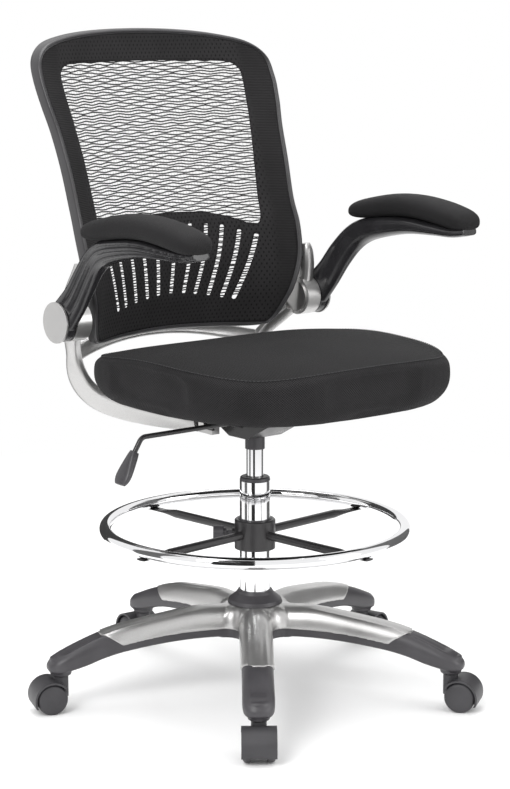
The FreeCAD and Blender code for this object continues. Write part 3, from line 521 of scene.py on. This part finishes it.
def stuff(piece, held, most, pressure=4.0):
    """Fills a closed cover with padding: Blender's cloth under inner pressure and without
    gravity, sewn down where held is true, and no point moving further than most."""
    mesh = piece.data
    start = np.empty(len(mesh.vertices) * 3)
    mesh.vertices.foreach_get("co", start)
    start = start.reshape(-1, 3)
    sewn = piece.vertex_groups.new(name="sewn")
    sewn.add(np.flatnonzero(held).tolist(), 1.0, "REPLACE")
    cover = piece.modifiers.new("stuffing", "CLOTH")
    cover.settings.vertex_group_mass = "sewn"
    cover.settings.use_pressure = True
    cover.settings.uniform_pressure_force = pressure
    cover.settings.effector_weights.gravity = 0
    cover.settings.quality = 4
    cover.point_cache.frame_start, cover.point_cache.frame_end = 1, 20
    for frame_number in range(1, 21):
        bpy.context.scene.frame_set(frame_number)
    graph = bpy.context.evaluated_depsgraph_get()
    swollen = piece.evaluated_get(graph).to_mesh()
    end = np.empty(len(swollen.vertices) * 3)
    swollen.vertices.foreach_get("co", end)
    piece.evaluated_get(graph).to_mesh_clear()
    move = end.reshape(-1, 3) - start
    length = np.maximum(np.linalg.norm(move, axis=1, keepdims=True), 1e-9)
    piece.modifiers.clear()
    piece.vertex_groups.clear()
    bpy.context.scene.frame_set(1)
    mesh.vertices.foreach_set("co", (start + move * np.minimum(1, most / length)).reshape(-1))
    mesh.update()


def smooth_cover(piece):
    """One subdivision, the same in the view and in the render."""
    finer = piece.modifiers.new("finer", "SUBSURF")
    finer.levels = finer.render_levels = 1


def weave_place(material):
    """The cloth's own flat coordinates, across and along, in metres."""
    uv = node(material, "ShaderNodeUVMap", uv_map="weave").outputs[0]
    split = node(material, "ShaderNodeSeparateXYZ", [(0, uv)])
    return split.outputs[0], split.outputs[1]


def sums(material, kind, *values):
    """One Math node of that kind."""
    return node(material, "ShaderNodeMath", list(enumerate(values)), operation=kind).outputs[0]


def ripple(material, value, pitch):
    """cos(2 pi value / pitch), from -1 to 1."""
    return sums(material, "COSINE", sums(material, "MULTIPLY", value, 2 * math.pi / pitch))


def cloth_finish(name, pattern, dark, light, relief, sheen):
    """Black polyester cloth. pattern(material) gives a height from 0, in the holes, to 1, on the
    yarns. The same height sets the colour: painted shade, the dark colour, in the holes, grooves
    and dimples, and the light colour, the yarn's own, on top; a slow unevenness lies over it."""
    material = finish_material(name, dark, 0.85)
    height = pattern(material)
    uneven = between(material, noise(material, 0.06, 3), 0.3, 0.7, 0.75, 1.15)
    # painted shade: the colour runs from dark in the holes, grooves and dimples, where shade falls, to the yarn's
    # colour on top
    tone = sums(material, "MULTIPLY", height, uneven)
    into(material, "Base Color", two_tone(material, tone, dark, light))
    into(material, "Roughness", between(material, height, 0, 1, 0.95, 0.72))
    raised(material, height, relief, 0.8)
    shader = material.node_tree.nodes["Principled BSDF"]
    shader.inputs["Specular IOR Level"].default_value = 0.22
    shader.inputs["Sheen Weight"].default_value = sheen
    shader.inputs["Sheen Roughness"].default_value = 0.45
    shader.inputs["Sheen Tint"].default_value = (0.55, 0.54, 0.56, 1)
    return material


def ribbed(material):
    """Ribs that run from front to back, 3.6 mm apart, crossed by fine knitted courses."""
    across, along = weave_place(material)
    ribs = between(material, ripple(material, across, 0.0036), -1, 1, 0, 1)
    courses = between(material, ripple(material, along, 0.0014), -1, 1, 0.55, 1)
    return sums(material, "MULTIPLY", ribs, courses)


def netted(pitch):
    """Spacer mesh: staggered small holes at that pitch between rounded yarns."""

    def pattern(material):
        across, along = weave_place(material)
        holes = sums(material, "MULTIPLY", ripple(material, across, pitch), ripple(material, along, pitch))
        return between(material, holes, 0.75, -0.25, 0, 1)

    return pattern


seat_points, seat_faces, seat_rings, seat_ring_share = cushion_mesh(72)
seat_centre = seat_points.mean(0)
seat_cover = make_piece("seat_cover", seat_centre + (seat_points - seat_centre) * (0.985, 0.985, 1.0), seat_faces, 180)
rim_steps = np.linalg.norm(np.diff(seat_points[seat_rings[3]], axis=0, append=seat_points[seat_rings[3]][:1]), axis=1)
run = np.concatenate([[0], np.cumsum(rim_steps)])
run *= round(run[-1] / 0.0040) * 0.0040 / run[-1]
band_across = np.stack([run[:-1], run[1:], run[1:], run[:-1]], -1)
band_heights = seat_points[seat_rings, 2].mean(1)
drop = np.concatenate([[0], np.cumsum(np.hypot(np.diff(band_rows[:, 0]) * seat_height, np.diff(band_rows[:, 1]) * 0.25))])
band_down = np.stack([drop[:-1], drop[:-1], drop[1:], drop[1:]], -1)
band_flat = np.stack(np.broadcast_arrays(band_across[None], band_down[:, None, :]), -1)
top_flat = seat_points[seat_faces[0], :2]
# make_piece may have turned all faces over, so the flat coordinates follow each corner's vertex
turned = tuple(seat_cover.data.polygons[0].vertices) != tuple(seat_faces[0][0])
band_corners = band_flat.reshape(-1, 4, 2)[:, ::-1]
sets = [top_flat, band_corners, seat_points[seat_faces[2], :2]]
lay_weave(seat_cover, [s[:, ::-1] for s in sets] if turned else sets)
sewn_down = np.zeros(len(seat_points), bool)
sewn_down[seat_rings[0]] = True
sewn_down[seat_rings[-1]] = True
sewn_down[-len(seat_ring_share) :] = True
stuff(seat_cover, sewn_down, 0.012)
smooth_cover(seat_cover)

seat_top_cloth = cloth_finish("seat_top_cloth", ribbed, (0.003, 0.003, 0.003), (0.0165, 0.0158, 0.0168), 0.0008, 0.035)
seat_band_cloth = cloth_finish("seat_band_cloth", netted(0.0040), (0.002, 0.002, 0.002), (0.0185, 0.0175, 0.0188), 0.0010, 0.04)
lining_cloth = cloth_finish("lining_cloth", netted(0.0020), (0.004, 0.004, 0.004), (0.010, 0.010, 0.010), 0.0002, 0.02)
for cloth in (seat_top_cloth, seat_band_cloth, lining_cloth):
    seat_cover.data.materials.append(cloth)
face_counts = [len(f) for f in seat_faces]
seat_cover.data.polygons.foreach_set("material_index", np.repeat([0, 1, 2], face_counts))
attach(seat_cover, "seat")
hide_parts("seat_cushion")
cad_finish(["seat_pan"], lining_cloth)


def stitches(name, line, pitch, length, thick, outward):
    """Short stitches along a closed line of points, every pitch, each a six-sided bead of that
    length standing half out of the cloth in the direction outward gives."""
    closed = np.vstack([line, line[:1]])
    gone = np.concatenate([[0], np.cumsum(np.linalg.norm(np.diff(closed, axis=0), axis=1))])
    count = int(gone[-1] / pitch)
    at = (np.arange(count) + 0.5) * gone[-1] / count
    here = np.stack([np.interp(at, gone, closed[:, k]) for k in range(3)], 1)
    ahead = np.stack([np.interp(at + 0.001, gone, closed[:, k]) for k in range(3)], 1)
    way = (ahead - here) / np.maximum(np.linalg.norm(ahead - here, axis=1, keepdims=True), 1e-9)
    out = outward(here)
    side = np.cross(way, out)
    angle = np.linspace(0, 2 * math.pi, 6, endpoint=False)
    beads = []
    for share, girth in ((-0.5, 0.35), (-0.25, 1.0), (0.25, 1.0), (0.5, 0.35)):
        ring = here[:, None] + way[:, None] * share * length
        ring = ring + thick * girth * (np.cos(angle)[None, :, None] * side[:, None] + np.sin(angle)[None, :, None] * out[:, None])
        beads.append(ring)
    grid = np.stack(beads, 1)
    return make_piece(name, *several(list(grid)), 60)


def away_from_seat(place_of):
    """Outward and a little up from the middle of the seat."""
    flat = place_of - np.array([seat_middle.x, seat_middle.y, 0])
    flat[:, 2] = 0
    flat /= np.linalg.norm(flat, axis=1, keepdims=True)
    return flat * 0.8 + np.array([0, 0, 0.6])


seam_line = seat_centre + (seat_points[seat_rings[0]] - seat_centre) * (0.985, 0.985, 1.0)
seam_thread = finish_material("seam_thread", (0.03, 0.03, 0.032), 0.6)
raised(seam_thread, ripple(seam_thread, node(seam_thread, "ShaderNodeSeparateXYZ", [(0, place(seam_thread))]).outputs[0], 0.0008), 0.0001)
seat_stitches = stitches("seat_stitches", seam_line + away_from_seat(seam_line) * 0.0006, 0.0062, 0.0042, 0.0007, away_from_seat)
finished(seat_stitches, seam_thread)
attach(seat_stitches, "seat")

# ---- Side bars ---------------------------------------------------------------------------
# Two cast bars painted silver, bolted under the seat and curving up beside it to the back, with
# a boss for each arm, and an arched brace between them.

cad_finish(["side_bar_left", "side_bar_right", "back_brace", "arm_cap_left", "arm_cap_right"], satin_silver)
cad_finish(["bar_bolts", "arm_pins"], bright_steel)

# ---- Back rim ----------------------------------------------------------------------------
# A black moulded rim, rebated for the fabric, with two fine beads beside it and a lug at each
# side that takes the bar.

# height, y on the centre line and y at 230 mm out
face_rows = through(
    np.array(
        [(540, 231, 132), (580, 230, 136), (640, 220, 124), (700, 212, 134), (750, 217, 148), (800, 231, 165), (860, 246, 184),
         (920, 262, 208), (980, 282, 235), (1030, 295, 254), (1110, 303, 270)]
    ) / 1000,
    400,
)


def back_face(x, z):
    """y on the front face of the back: the centre line's y less (|x| / 230 mm)^2.5 of the way
    it comes forward at 230 mm out."""
    middle = np.interp(z, face_rows[:, 0], face_rows[:, 1])
    edge = np.interp(z, face_rows[:, 0], face_rows[:, 2])
    return middle - (middle - edge) * (np.abs(x) / 0.230) ** 2.5


def loop_through(rows, per_span):
    """A closed Catmull-Rom curve through the rows."""
    rows = np.asarray(rows, float)
    a, b, c, d = (np.roll(rows, k, 0)[:, None] for k in (1, 0, -1, -2))
    t = np.linspace(0, 1, per_span, endpoint=False)[None, :, None]
    curve = b + t * (c - a) / 2 + t**2 * (a - 2.5 * b + 2 * c - d / 2) + t**3 * (3 * (b - c) + d - a) / 2
    return curve.reshape(-1, rows.shape[1])


def both_sides(half):
    """A closed outline from its right half, which starts and ends on the centre line."""
    half = np.asarray(half, float)
    return np.vstack([half, half[-2:0:-1] * (-1, 1)])


def rim_outline(inset, per_span=22):
    """The back's outline seen from the front, drawn in by inset."""
    i = inset * 1000
    side = [(239, 1033), (245, 1000), (242, 960), (234, 905), (228, 800), (229, 750), (225, 700), (216, 660), (205, 622), (190, 586)]
    half = [(0, 1081 - i), (90, 1078 - i), (160, 1070 - i), (211 - 0.6 * i, 1057 - 0.8 * i)]
    half += [(x - i, z) for x, z in side] + [(166 - 0.6 * i, 574 + 0.8 * i), (90, 574.5 + i), (0, 577 + i)]
    return loop_through(both_sides(half) / 1000, per_span)


# the rim's section: how far in from the outline and how far behind the face, in millimetres
rim_section = np.array(
    [(1.2, 25.0), (0.2, 23.5), (0, 16), (0, 7), (0.25, 4.2), (0.9, 1.8), (2.0, 0.2), (3.2, -0.7), (4.3, -0.9), (4.9, -0.5),
     (5.1, 0.3), (5.35, -0.5), (5.8, -0.85), (6.25, -0.5), (6.5, 0.35), (6.75, -0.45), (7.2, -0.8), (7.65, -0.45), (7.9, 0.5),
     (8.1, 2.4), (14, 2.6), (20.6, 2.8), (21.7, 3.6), (22, 5.5), (22, 22), (21.4, 24.6), (19.8, 25.8), (10, 26), (3, 25.9)]
) / 1000
rim_rings = [rim_outline(inset) for inset, _ in rim_section]
rim_points = np.stack(
    [np.stack([r[:, 0], back_face(r[:, 0], r[:, 1]) + deep, r[:, 1]], -1) for r, (_, deep) in zip(rim_rings, rim_section)], 1
)
lug_turn = np.linspace(0, 2 * math.pi, 40, endpoint=False)
lug_rows = [(0.2065, 0.004), (0.2065, 0.0108), (0.2075, 0.0112), (0.2270, 0.0112), (0.2279, 0.0104), (0.2279, 0.004)]
lugs = []
for side in (-1, 1):
    lug = np.stack(
        [np.stack([side * x + 0 * lug_turn, 0.152 + r * np.cos(lug_turn), 0.698 + r * np.sin(lug_turn)], -1) for x, r in lug_rows]
    )
    lug[..., 1] = np.maximum(lug[..., 1], back_face(lug[..., 0], lug[..., 2]) + 0.0045)
    lugs.append(lug)
lug_points, lug_faces = several(lugs)
rim_faces = tube_faces(len(rim_points), len(rim_section), ring=True)
rim = make_piece(
    "back_rim",
    np.concatenate([rim_points.reshape(-1, 3), lug_points]),
    rim_faces + [f + rim_points.shape[0] * rim_points.shape[1] for f in lug_faces],
    40,
)
rim_nylon = moulded_nylon("rim_nylon", (0.030, 0.029, 0.031), 0.36, 0.0)
finished(rim, rim_nylon)
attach(rim, "seat")
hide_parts("back_frame")

# ---- Back fabric -------------------------------------------------------------------------
# One knitted panel stretched in the rim: close knit with dimples round the edge and over the
# lower back, eleven slots there, and a big window where only open wavy threads are left.

window_half = [
    (0, 1028), (90, 1027), (148, 1025.5), (171, 1023), (184, 1015), (189.5, 999), (186, 947), (178, 867), (173, 803),
    (171, 765), (166, 752.5), (155, 749.5), (127, 760), (94, 769), (58, 774), (19, 776), (0, 776),
]
window = loop_through(both_sides(window_half) / 1000, 12)
slot_lines = [
    [(0, 643), (0, 700), (0, 757)], [(27, 642), (33, 697), (39, 755)], [(51, 639), (61, 690), (71, 752)],
    [(77, 635), (89, 689), (101, 748)], [(102, 630), (116, 680), (131, 739)], [(123, 626), (141, 676), (159, 731)],
]
slot_half_width = 0.0041


def slot_outline(line, side):
    """A slot's outline: its centre line moved half a width each way, with round ends."""
    middle = through(np.array(line) / 1000 * (side, 1), 24)
    way = np.gradient(middle, axis=0)
    way /= np.linalg.norm(way, axis=1, keepdims=True)
    across = np.stack([way[:, 1], -way[:, 0]], -1)
    swing = np.linspace(0, math.pi, 9)[1:-1, None]
    cap = middle[-1] + slot_half_width * (np.cos(swing) * across[-1] + np.sin(swing) * way[-1])
    foot = middle[0] - slot_half_width * (np.cos(swing) * across[0] + np.sin(swing) * way[0])
    return np.vstack([middle + slot_half_width * across, cap, (middle - slot_half_width * across)[::-1], foot])


slots = [slot_outline(line, side) for k, line in enumerate(slot_lines) for side in ((1,) if k == 0 else (1, -1))]


def within(points, outline):
    """Which points lie inside the outline: a ray along +X crosses it an odd number of times."""
    x, z = points[:, 0:1], points[:, 1:2]
    a, b = outline, np.roll(outline, -1, 0)
    rises = (a[:, 1] > z) != (b[:, 1] > z)
    fall = np.where(b[:, 1] == a[:, 1], 1e-12, b[:, 1] - a[:, 1])
    return (rises & (x < a[:, 0] + (z - a[:, 1]) * (b[:, 0] - a[:, 0]) / fall)).sum(1) % 2 == 1


def panel_mesh(outer, holes, pitch):
    """Flat triangles between the outlines: a grid of points with the outlines as fixed edges,
    joined by constrained Delaunay triangulation, less the triangles in a hole."""
    lines = [outer] + holes
    low, high = outer.min(0), outer.max(0)
    grid = np.stack(np.meshgrid(np.arange(low[0], high[0], pitch), np.arange(low[1], high[1], pitch)), -1).reshape(-1, 2)
    keep = within(grid, outer)
    for line in lines:
        gap = np.concatenate([np.linalg.norm(part[:, None] - line[None], axis=2).min(1) for part in np.array_split(grid, 20)])
        keep &= gap > 0.45 * pitch
    for hole in holes:
        keep &= ~within(grid, hole)
    flat = np.concatenate(lines + [grid[keep]])
    edges, start = [], 0
    for line in lines:
        number = start + np.arange(len(line))
        edges += np.column_stack([number, np.roll(number, -1)]).tolist()
        start += len(line)
    found = geometry.delaunay_2d_cdt([Vector(p) for p in flat.tolist()], edges, [], 0, 1e-7)
    flat = np.array([tuple(p) for p in found[0]])
    triangles = np.array([f for f in found[2] if len(f) == 3])
    centres = flat[triangles].mean(1)
    inside = within(centres, outer)
    for hole in holes:
        inside &= ~within(centres, hole)
    return flat, triangles[inside]


fabric_outline = rim_outline(0.0081, 10)
fabric_flat, fabric_triangles = panel_mesh(fabric_outline, [window] + slots, 0.0048)
fabric_points = np.column_stack([fabric_flat[:, 0], back_face(fabric_flat[:, 0], fabric_flat[:, 1]) + 0.0002, fabric_flat[:, 1]])
fabric_mesh = bpy.data.meshes.new("back_panel")
normal_y = np.cross(fabric_points[fabric_triangles[:, 1]] - fabric_points[fabric_triangles[:, 0]], fabric_points[fabric_triangles[:, 2]] - fabric_points[fabric_triangles[:, 0]])[:, 1]
fabric_triangles = np.where((normal_y > 0)[:, None], fabric_triangles[:, ::-1], fabric_triangles)
fabric_mesh.from_pydata(fabric_points.tolist(), [], fabric_triangles.tolist())
fabric_mesh.polygons.foreach_set("use_smooth", np.ones(len(fabric_triangles), bool))
back_panel = bpy.data.objects.new("back_panel", fabric_mesh)
bpy.context.scene.collection.objects.link(back_panel)
thick = back_panel.modifiers.new("thick", "SOLIDIFY")
thick.thickness, thick.offset = 0.0012, -1


def dimpled(material):
    """Close knit: dimples 3 mm across, staggered 8 by 6.5 mm, in the middle, and level ribs
    2.7 mm apart towards the sides, over fine courses."""
    split = node(material, "ShaderNodeSeparateXYZ", [(0, place(material))])
    x, z = split.outputs[0], split.outputs[2]
    pits = sums(material, "MULTIPLY", ripple(material, x, 0.0080), ripple(material, z, 0.0130))
    pits = between(material, pits, 0.80, 0.45, 0.1, 1)
    ribs = between(material, ripple(material, z, 0.0027), -1, 1, 0.35, 1)
    beside = between(material, sums(material, "ABSOLUTE", x), 0.182, 0.196, 0, 1)
    close = node(material, "ShaderNodeMix", [(0, beside), (2, pits), (3, ribs)]).outputs[0]
    courses = between(material, ripple(material, z, 0.0011), -1, 1, 0.75, 1)
    return sums(material, "MULTIPLY", close, courses)


back_cloth = cloth_finish("back_cloth", dimpled, (0.0025, 0.0025, 0.0025), (0.0175, 0.0165, 0.0175), 0.0007, 0.035)
finished(back_panel, back_cloth)

thread_cloth = cloth_finish("thread_cloth", dimpled, (0.014, 0.014, 0.0145), (0.030, 0.029, 0.030), 0.0001, 0.02)


def thread_reach(z):
    """Half the width of a thread row at height z: to just inside the knit beside the window
    or beside the outermost slot."""
    sides = np.array([(626, 133), (676, 151), (731, 168), (748, 166), (752, 176), (803, 180), (867, 185), (947, 193), (999, 196), (1016, 190), (1029, 176)]) / 1000
    return np.interp(z, sides[:, 0], sides[:, 1])


dice = np.random.default_rng(7)
row_heights = np.arange(0.630, 1.0275, 0.0045)
wavy = []
share = np.linspace(-1, 1, 150)
for number, level in enumerate(row_heights):
    x = share * thread_reach(level)
    pitch = 0.040 + 0.006 * dice.random()
    phase = math.pi * number + 1.5 * dice.random() + 1.2 * np.sin(x / 0.05 + 6 * dice.random())
    z = level + 0.00105 * np.sin(2 * math.pi * x / pitch + phase) + 0.00015 * dice.standard_normal(len(x))
    y = back_face(x, z) + 0.0008
    corners = [(0.00112, 0), (0, 0.0004), (-0.00112, 0), (0, -0.0004)]
    wavy.append(np.stack([np.stack([x, y + deep, z + high], -1) for high, deep in corners], 1))
for x_line in np.arange(-0.189, 0.1895, 0.0063):
    low = np.interp(abs(x_line), [0, 0.127, 0.155, 0.171], [0.774, 0.758, 0.747, 0.763])
    low = low if abs(x_line) < 0.171 else 0.763 + (abs(x_line) - 0.171) * 10
    z = np.linspace(low, 1.029 - 0.1 * max(abs(x_line) - 0.16, 0), 40)
    y = back_face(x_line, z) + 0.0009
    wavy.append(np.stack([np.stack([x_line + a + 0 * z, y + b, z], -1) for a, b in ((0.00016, 0), (-0.00008, 0.00014), (-0.00008, -0.00014))], 1))
window_threads = make_piece("window_threads", *several(wavy), 50)
finished(window_threads, thread_cloth)


def edging(line, radius, deep):
    """A thin cord of that radius along a closed outline on the back's face."""
    turn = np.linspace(0, 2 * math.pi, 6, endpoint=False)
    way = np.roll(line, -1, 0) - np.roll(line, 1, 0)
    way /= np.linalg.norm(way, axis=1, keepdims=True)
    across = np.stack([way[:, 1], -way[:, 0]], -1)
    flat = line[:, None] + radius * np.cos(turn)[None, :, None] * across[:, None]
    y = back_face(line[:, 0], line[:, 1])[:, None] + deep + radius * 0.7 * np.sin(turn)
    return np.stack([flat[..., 0], y, flat[..., 1]], -1)


edge_parts = [edging(window, 0.0009, 0.0003)] + [edging(line, 0.0006, 0.0005) for line in slots]
edge_points, edge_faces, start = [], [], 0
for part in edge_parts:
    edge_points.append(part.reshape(-1, 3))
    edge_faces += tube_faces(len(part), 6, start, ring=True)
    start += len(part) * 6
window_edging = make_piece("window_edging", np.concatenate(edge_points), edge_faces, 60)
finished(window_edging, back_cloth)
for piece in (back_panel, window_threads, window_edging):
    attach(piece, "seat")
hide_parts("back_mesh")

# ---- Arms --------------------------------------------------------------------------------
# Black moulded arms that fold up about a silver-capped hub: each rises from the hub and turns
# forward under its pad, with flutes along its outer face.

# x, y and z of the arm's centre, half its width across and half its depth, in millimetres
arm_rows = through(
    np.array(
        [(267, 150, 634, 8.5, 30), (267, 120, 664, 9, 27), (268, 92, 698, 10.5, 25), (271, 62, 728, 13, 22.5), (273, 30, 745, 18, 20),
         (275, -20, 755, 23, 17), (276, -80, 761, 26, 14), (276, -140, 759, 26, 10), (276, -180, 757, 23, 8), (276, -208, 760, 16, 6)]
    ) / 1000,
    150,
)
flutes = [(0.36, 0.15, 0.0042), (-0.30, 0.20, 0.0046)]


def arm_surface(side):
    """The arm's skin: a superellipse of power 3.2 carried along its centre line, with smooth
    flutes sunk into its outer face."""
    way = np.gradient(arm_rows[:, 1:3], axis=0)
    way /= np.linalg.norm(way, axis=1, keepdims=True)
    around = np.linspace(0, 2 * math.pi, 96, endpoint=False)
    out = power(np.cos(around), 2 / 3.2)[None]
    up = power(np.sin(around), 2 / 3.2)[None]
    fade = step(0, 0.10, np.linspace(0, 1, len(arm_rows))) * step(1, 0.93, np.linspace(0, 1, len(arm_rows)))
    sunk = sum(depth * np.exp(-(((up - middle) / half) ** 4)) for middle, half, depth in flutes)
    across = arm_rows[:, 3:4] * out - sunk * (out > 0) * fade[:, None] - 0.0015 * np.exp(-((up / 0.6) ** 4)) * (out < 0) * fade[:, None]
    along = arm_rows[:, 4:5] * up
    x = side * (arm_rows[:, 0:1] + across)
    y = arm_rows[:, 1:2] - way[:, 1:2] * along * -1
    z = arm_rows[:, 2:3] - way[:, 0:1] * along
    return np.stack([x, y, z], -1)


def hub_disc(side):
    """The round hub with softened edges."""
    turn = np.linspace(0, 2 * math.pi, 72, endpoint=False)
    rows = [(0.2585, 0.010), (0.2580, 0.0292), (0.2588, 0.0308), (0.2605, 0.0313), (0.2735, 0.0313), (0.2752, 0.0306), (0.2760, 0.0292), (0.2760, 0.010)]
    return np.stack([np.stack([side * x + 0 * turn, 0.161 + r * np.cos(turn), 0.623 + r * np.sin(turn)], -1) for x, r in rows])


arm_nylon = moulded_nylon("arm_nylon", (0.016, 0.0155, 0.017), 0.20, 0.0)
for side, name in ((1, "left"), (-1, "right")):
    arm = make_piece(f"arm_moulding_{name}", *several([arm_surface(side), hub_disc(side)]))
    melt(arm, 0.0014, 2)
    finished(arm, arm_nylon)
    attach(arm, f"arm_{name}")
    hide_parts(f"arm_frame_{name}")

# ---- Arm pads ----------------------------------------------------------------------------
# Foam pads on top of the arms, crescent-shaped from the side, covered in black spacer mesh that
# is tucked in along the arm's edge.

# y, middle height, half height, and the share of the pad's half width, in millimetres
pad_rows = through(
    np.array(
        [(65, 774, 4, 0.34), (60, 776, 10, 0.66), (46, 779, 15, 0.88), (18, 783.5, 18, 0.98), (-38, 791.5, 19.5, 1), (-92, 792.5, 19.5, 1),
         (-142, 787, 19.5, 1), (-180, 780, 18.5, 0.97), (-200, 776, 15, 0.86), (-209, 773, 9.5, 0.62), (-212, 772, 4, 0.3)]
    ) / (1000, 1000, 1000, 1),
    84,
)
pad_half_width, pad_centre_x = 0.033, 0.2775
pad_cloth = cloth_finish("pad_cloth", netted(0.0024), (0.002, 0.002, 0.002), (0.0165, 0.0158, 0.0168), 0.0006, 0.04)
for side, name in ((1, "left"), (-1, "right")):
    around = np.linspace(0, 2 * math.pi, 56, endpoint=False)
    across = pad_half_width * pad_rows[:, 3:4] * power(np.cos(around), 2 / 2.6) * 0.97
    high = pad_rows[:, 2:3] * power(np.sin(around), 2 / 2.6) * 0.97
    points = np.stack([side * (pad_centre_x + across), pad_rows[:, 0:1] + 0 * across, pad_rows[:, 1:2] + high], -1)
    pad = make_piece(f"arm_pad_cover_{name}", points.reshape(-1, 3), tube_faces(84, 56), 180)
    steps = np.arange(56) * 0.0024
    loops = np.empty(len(pad.data.loops), int)
    pad.data.loops.foreach_get("vertex_index", loops)
    lengthways = pad_rows[loops // 56, 0]
    around_number = loops % 56
    face_of = np.repeat(np.arange(len(pad.data.polygons)), [p.loop_total for p in pad.data.polygons])
    last = np.zeros(len(pad.data.polygons), bool)
    np.logical_or.at(last, face_of, around_number == 55)
    wraps = last[face_of] & (around_number == 0)
    lay_weave(pad, [np.column_stack([(around_number + 56 * wraps) * 0.0024, lengthways])])
    tucked = (np.tile(np.sin(around), 84) < -0.55) | (np.repeat(np.arange(84), 56) % 83 == 0)
    stuff(pad, tucked, 0.006)
    smooth_cover(pad)
    finished(pad, pad_cloth)
    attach(pad, f"arm_{name}")
    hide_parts(f"arm_pad_{name}")

# ---- Studio ------------------------------------------------------------------------------
# A pale floor that runs out past the view, big soft lights, and the camera.

floor_size = 60
floor_mesh = bpy.data.meshes.new("studio_floor")
half_floor = floor_size / 2
floor_mesh.from_pydata(
    [(-half_floor, -half_floor, 0), (half_floor, -half_floor, 0), (half_floor, half_floor, 0), (-half_floor, half_floor, 0)],
    [],
    [(0, 1, 2, 3)],
)
floor = bpy.data.objects.new("studio_floor", floor_mesh)
bpy.context.scene.collection.objects.link(floor)
floor_paper = finish_material("floor_paper", (0.93, 0.93, 0.93), 0.9)
reach_of_floor = node(floor_paper, "ShaderNodeVectorMath", [(0, place(floor_paper))], operation="LENGTH").outputs["Value"]
glow = node(floor_paper, "ShaderNodeEmission", [("Color", (1, 1, 1, 1)), ("Strength", 1.0)])
even = node(
    floor_paper,
    "ShaderNodeMixShader",
    [
        (0, between(floor_paper, reach_of_floor, 0.7, 2.0, 0, 1)),
        (1, floor_paper.node_tree.nodes["Principled BSDF"].outputs[0]),
        (2, glow.outputs[0]),
    ],
)
floor_paper.node_tree.links.new(even.outputs[0], floor_paper.node_tree.nodes["Material Output"].inputs["Surface"])
finished(floor, floor_paper)

world = bpy.data.worlds.new("studio")
bpy.context.scene.world = world
world.use_nodes = True
background = world.node_tree.nodes["Background"]
background.inputs["Color"].default_value = (1, 1, 1, 1)
background.inputs["Strength"].default_value = 1.0


def dark_card(name, azimuth, away, half_width, low, high, level):
    """A grey card that stands round the set, seen only in reflections."""
    a = math.radians(azimuth)
    middle = np.array([math.sin(a), -math.cos(a)]) * away
    across = np.array([math.cos(a), math.sin(a)]) * half_width
    corners = [(*(middle - across), low), (*(middle + across), low), (*(middle + across), high), (*(middle - across), high)]
    mesh = bpy.data.meshes.new(name)
    mesh.from_pydata(corners, [], [(0, 1, 2, 3)])
    card = bpy.data.objects.new(name, mesh)
    bpy.context.scene.collection.objects.link(card)
    finished(card, finish_material(name, (level, level, level), 1.0))
    card.visible_camera = card.visible_shadow = card.visible_diffuse = False
    card.visible_glossy = True


card_distance = 0.75
for number, (azimuth, half_angle, low, high, level) in enumerate(
    [(-53, 13, 0.02, 1.7, 0.01), (176, 26, 0.02, 1.2, 0.03), (78, 20, 0.02, 1.2, 0.10), (-112, 12, 0.02, 1.2, 0.12)]
):
    half_width = card_distance * math.tan(math.radians(half_angle))
    dark_card(f"dark_card_{number}", azimuth, card_distance, half_width, low, high, level)


def soft_light(name, place_at, aim, size, watts):
    """A square soft box of that size at place_at, facing aim."""
    lamp = bpy.data.lights.new(name, "AREA")
    lamp.shape, lamp.size, lamp.energy = "SQUARE", size, watts
    box_light = bpy.data.objects.new(name, lamp)
    bpy.context.scene.collection.objects.link(box_light)
    box_light.location = place_at
    toward = np.array(aim, float) - np.array(place_at, float)
    box_light.rotation_euler = Vector(toward).to_track_quat("-Z", "Y").to_euler()
    return box_light


soft_light("key_light", (-3.2, -1.2, 2.6), (0, 0, 0.6), 1.8, 90)
soft_light("fill_light", (1.6, -3.4, 1.6), (0, 0, 0.6), 2.0, 40)
soft_light("top_light", (0.2, 0.4, 3.6), (0, 0, 0.5), 2.4, 60)

camera_data = bpy.data.cameras.new("camera")
camera = bpy.data.objects.new("camera", camera_data)
bpy.context.scene.collection.objects.link(camera)
camera_azimuth, camera_away, camera_height = math.radians(-40), 3.4489, 1.1176
camera.location = (
    math.sin(camera_azimuth) * camera_away,
    -math.cos(camera_azimuth) * camera_away,
    camera_height,
)
camera.rotation_euler = (math.radians(79.81), 0, camera_azimuth)
camera_data.sensor_width = 36
camera_data.lens = 98.65
bpy.context.scene.camera = camera
bpy.context.scene.view_settings.view_transform = "Standard"
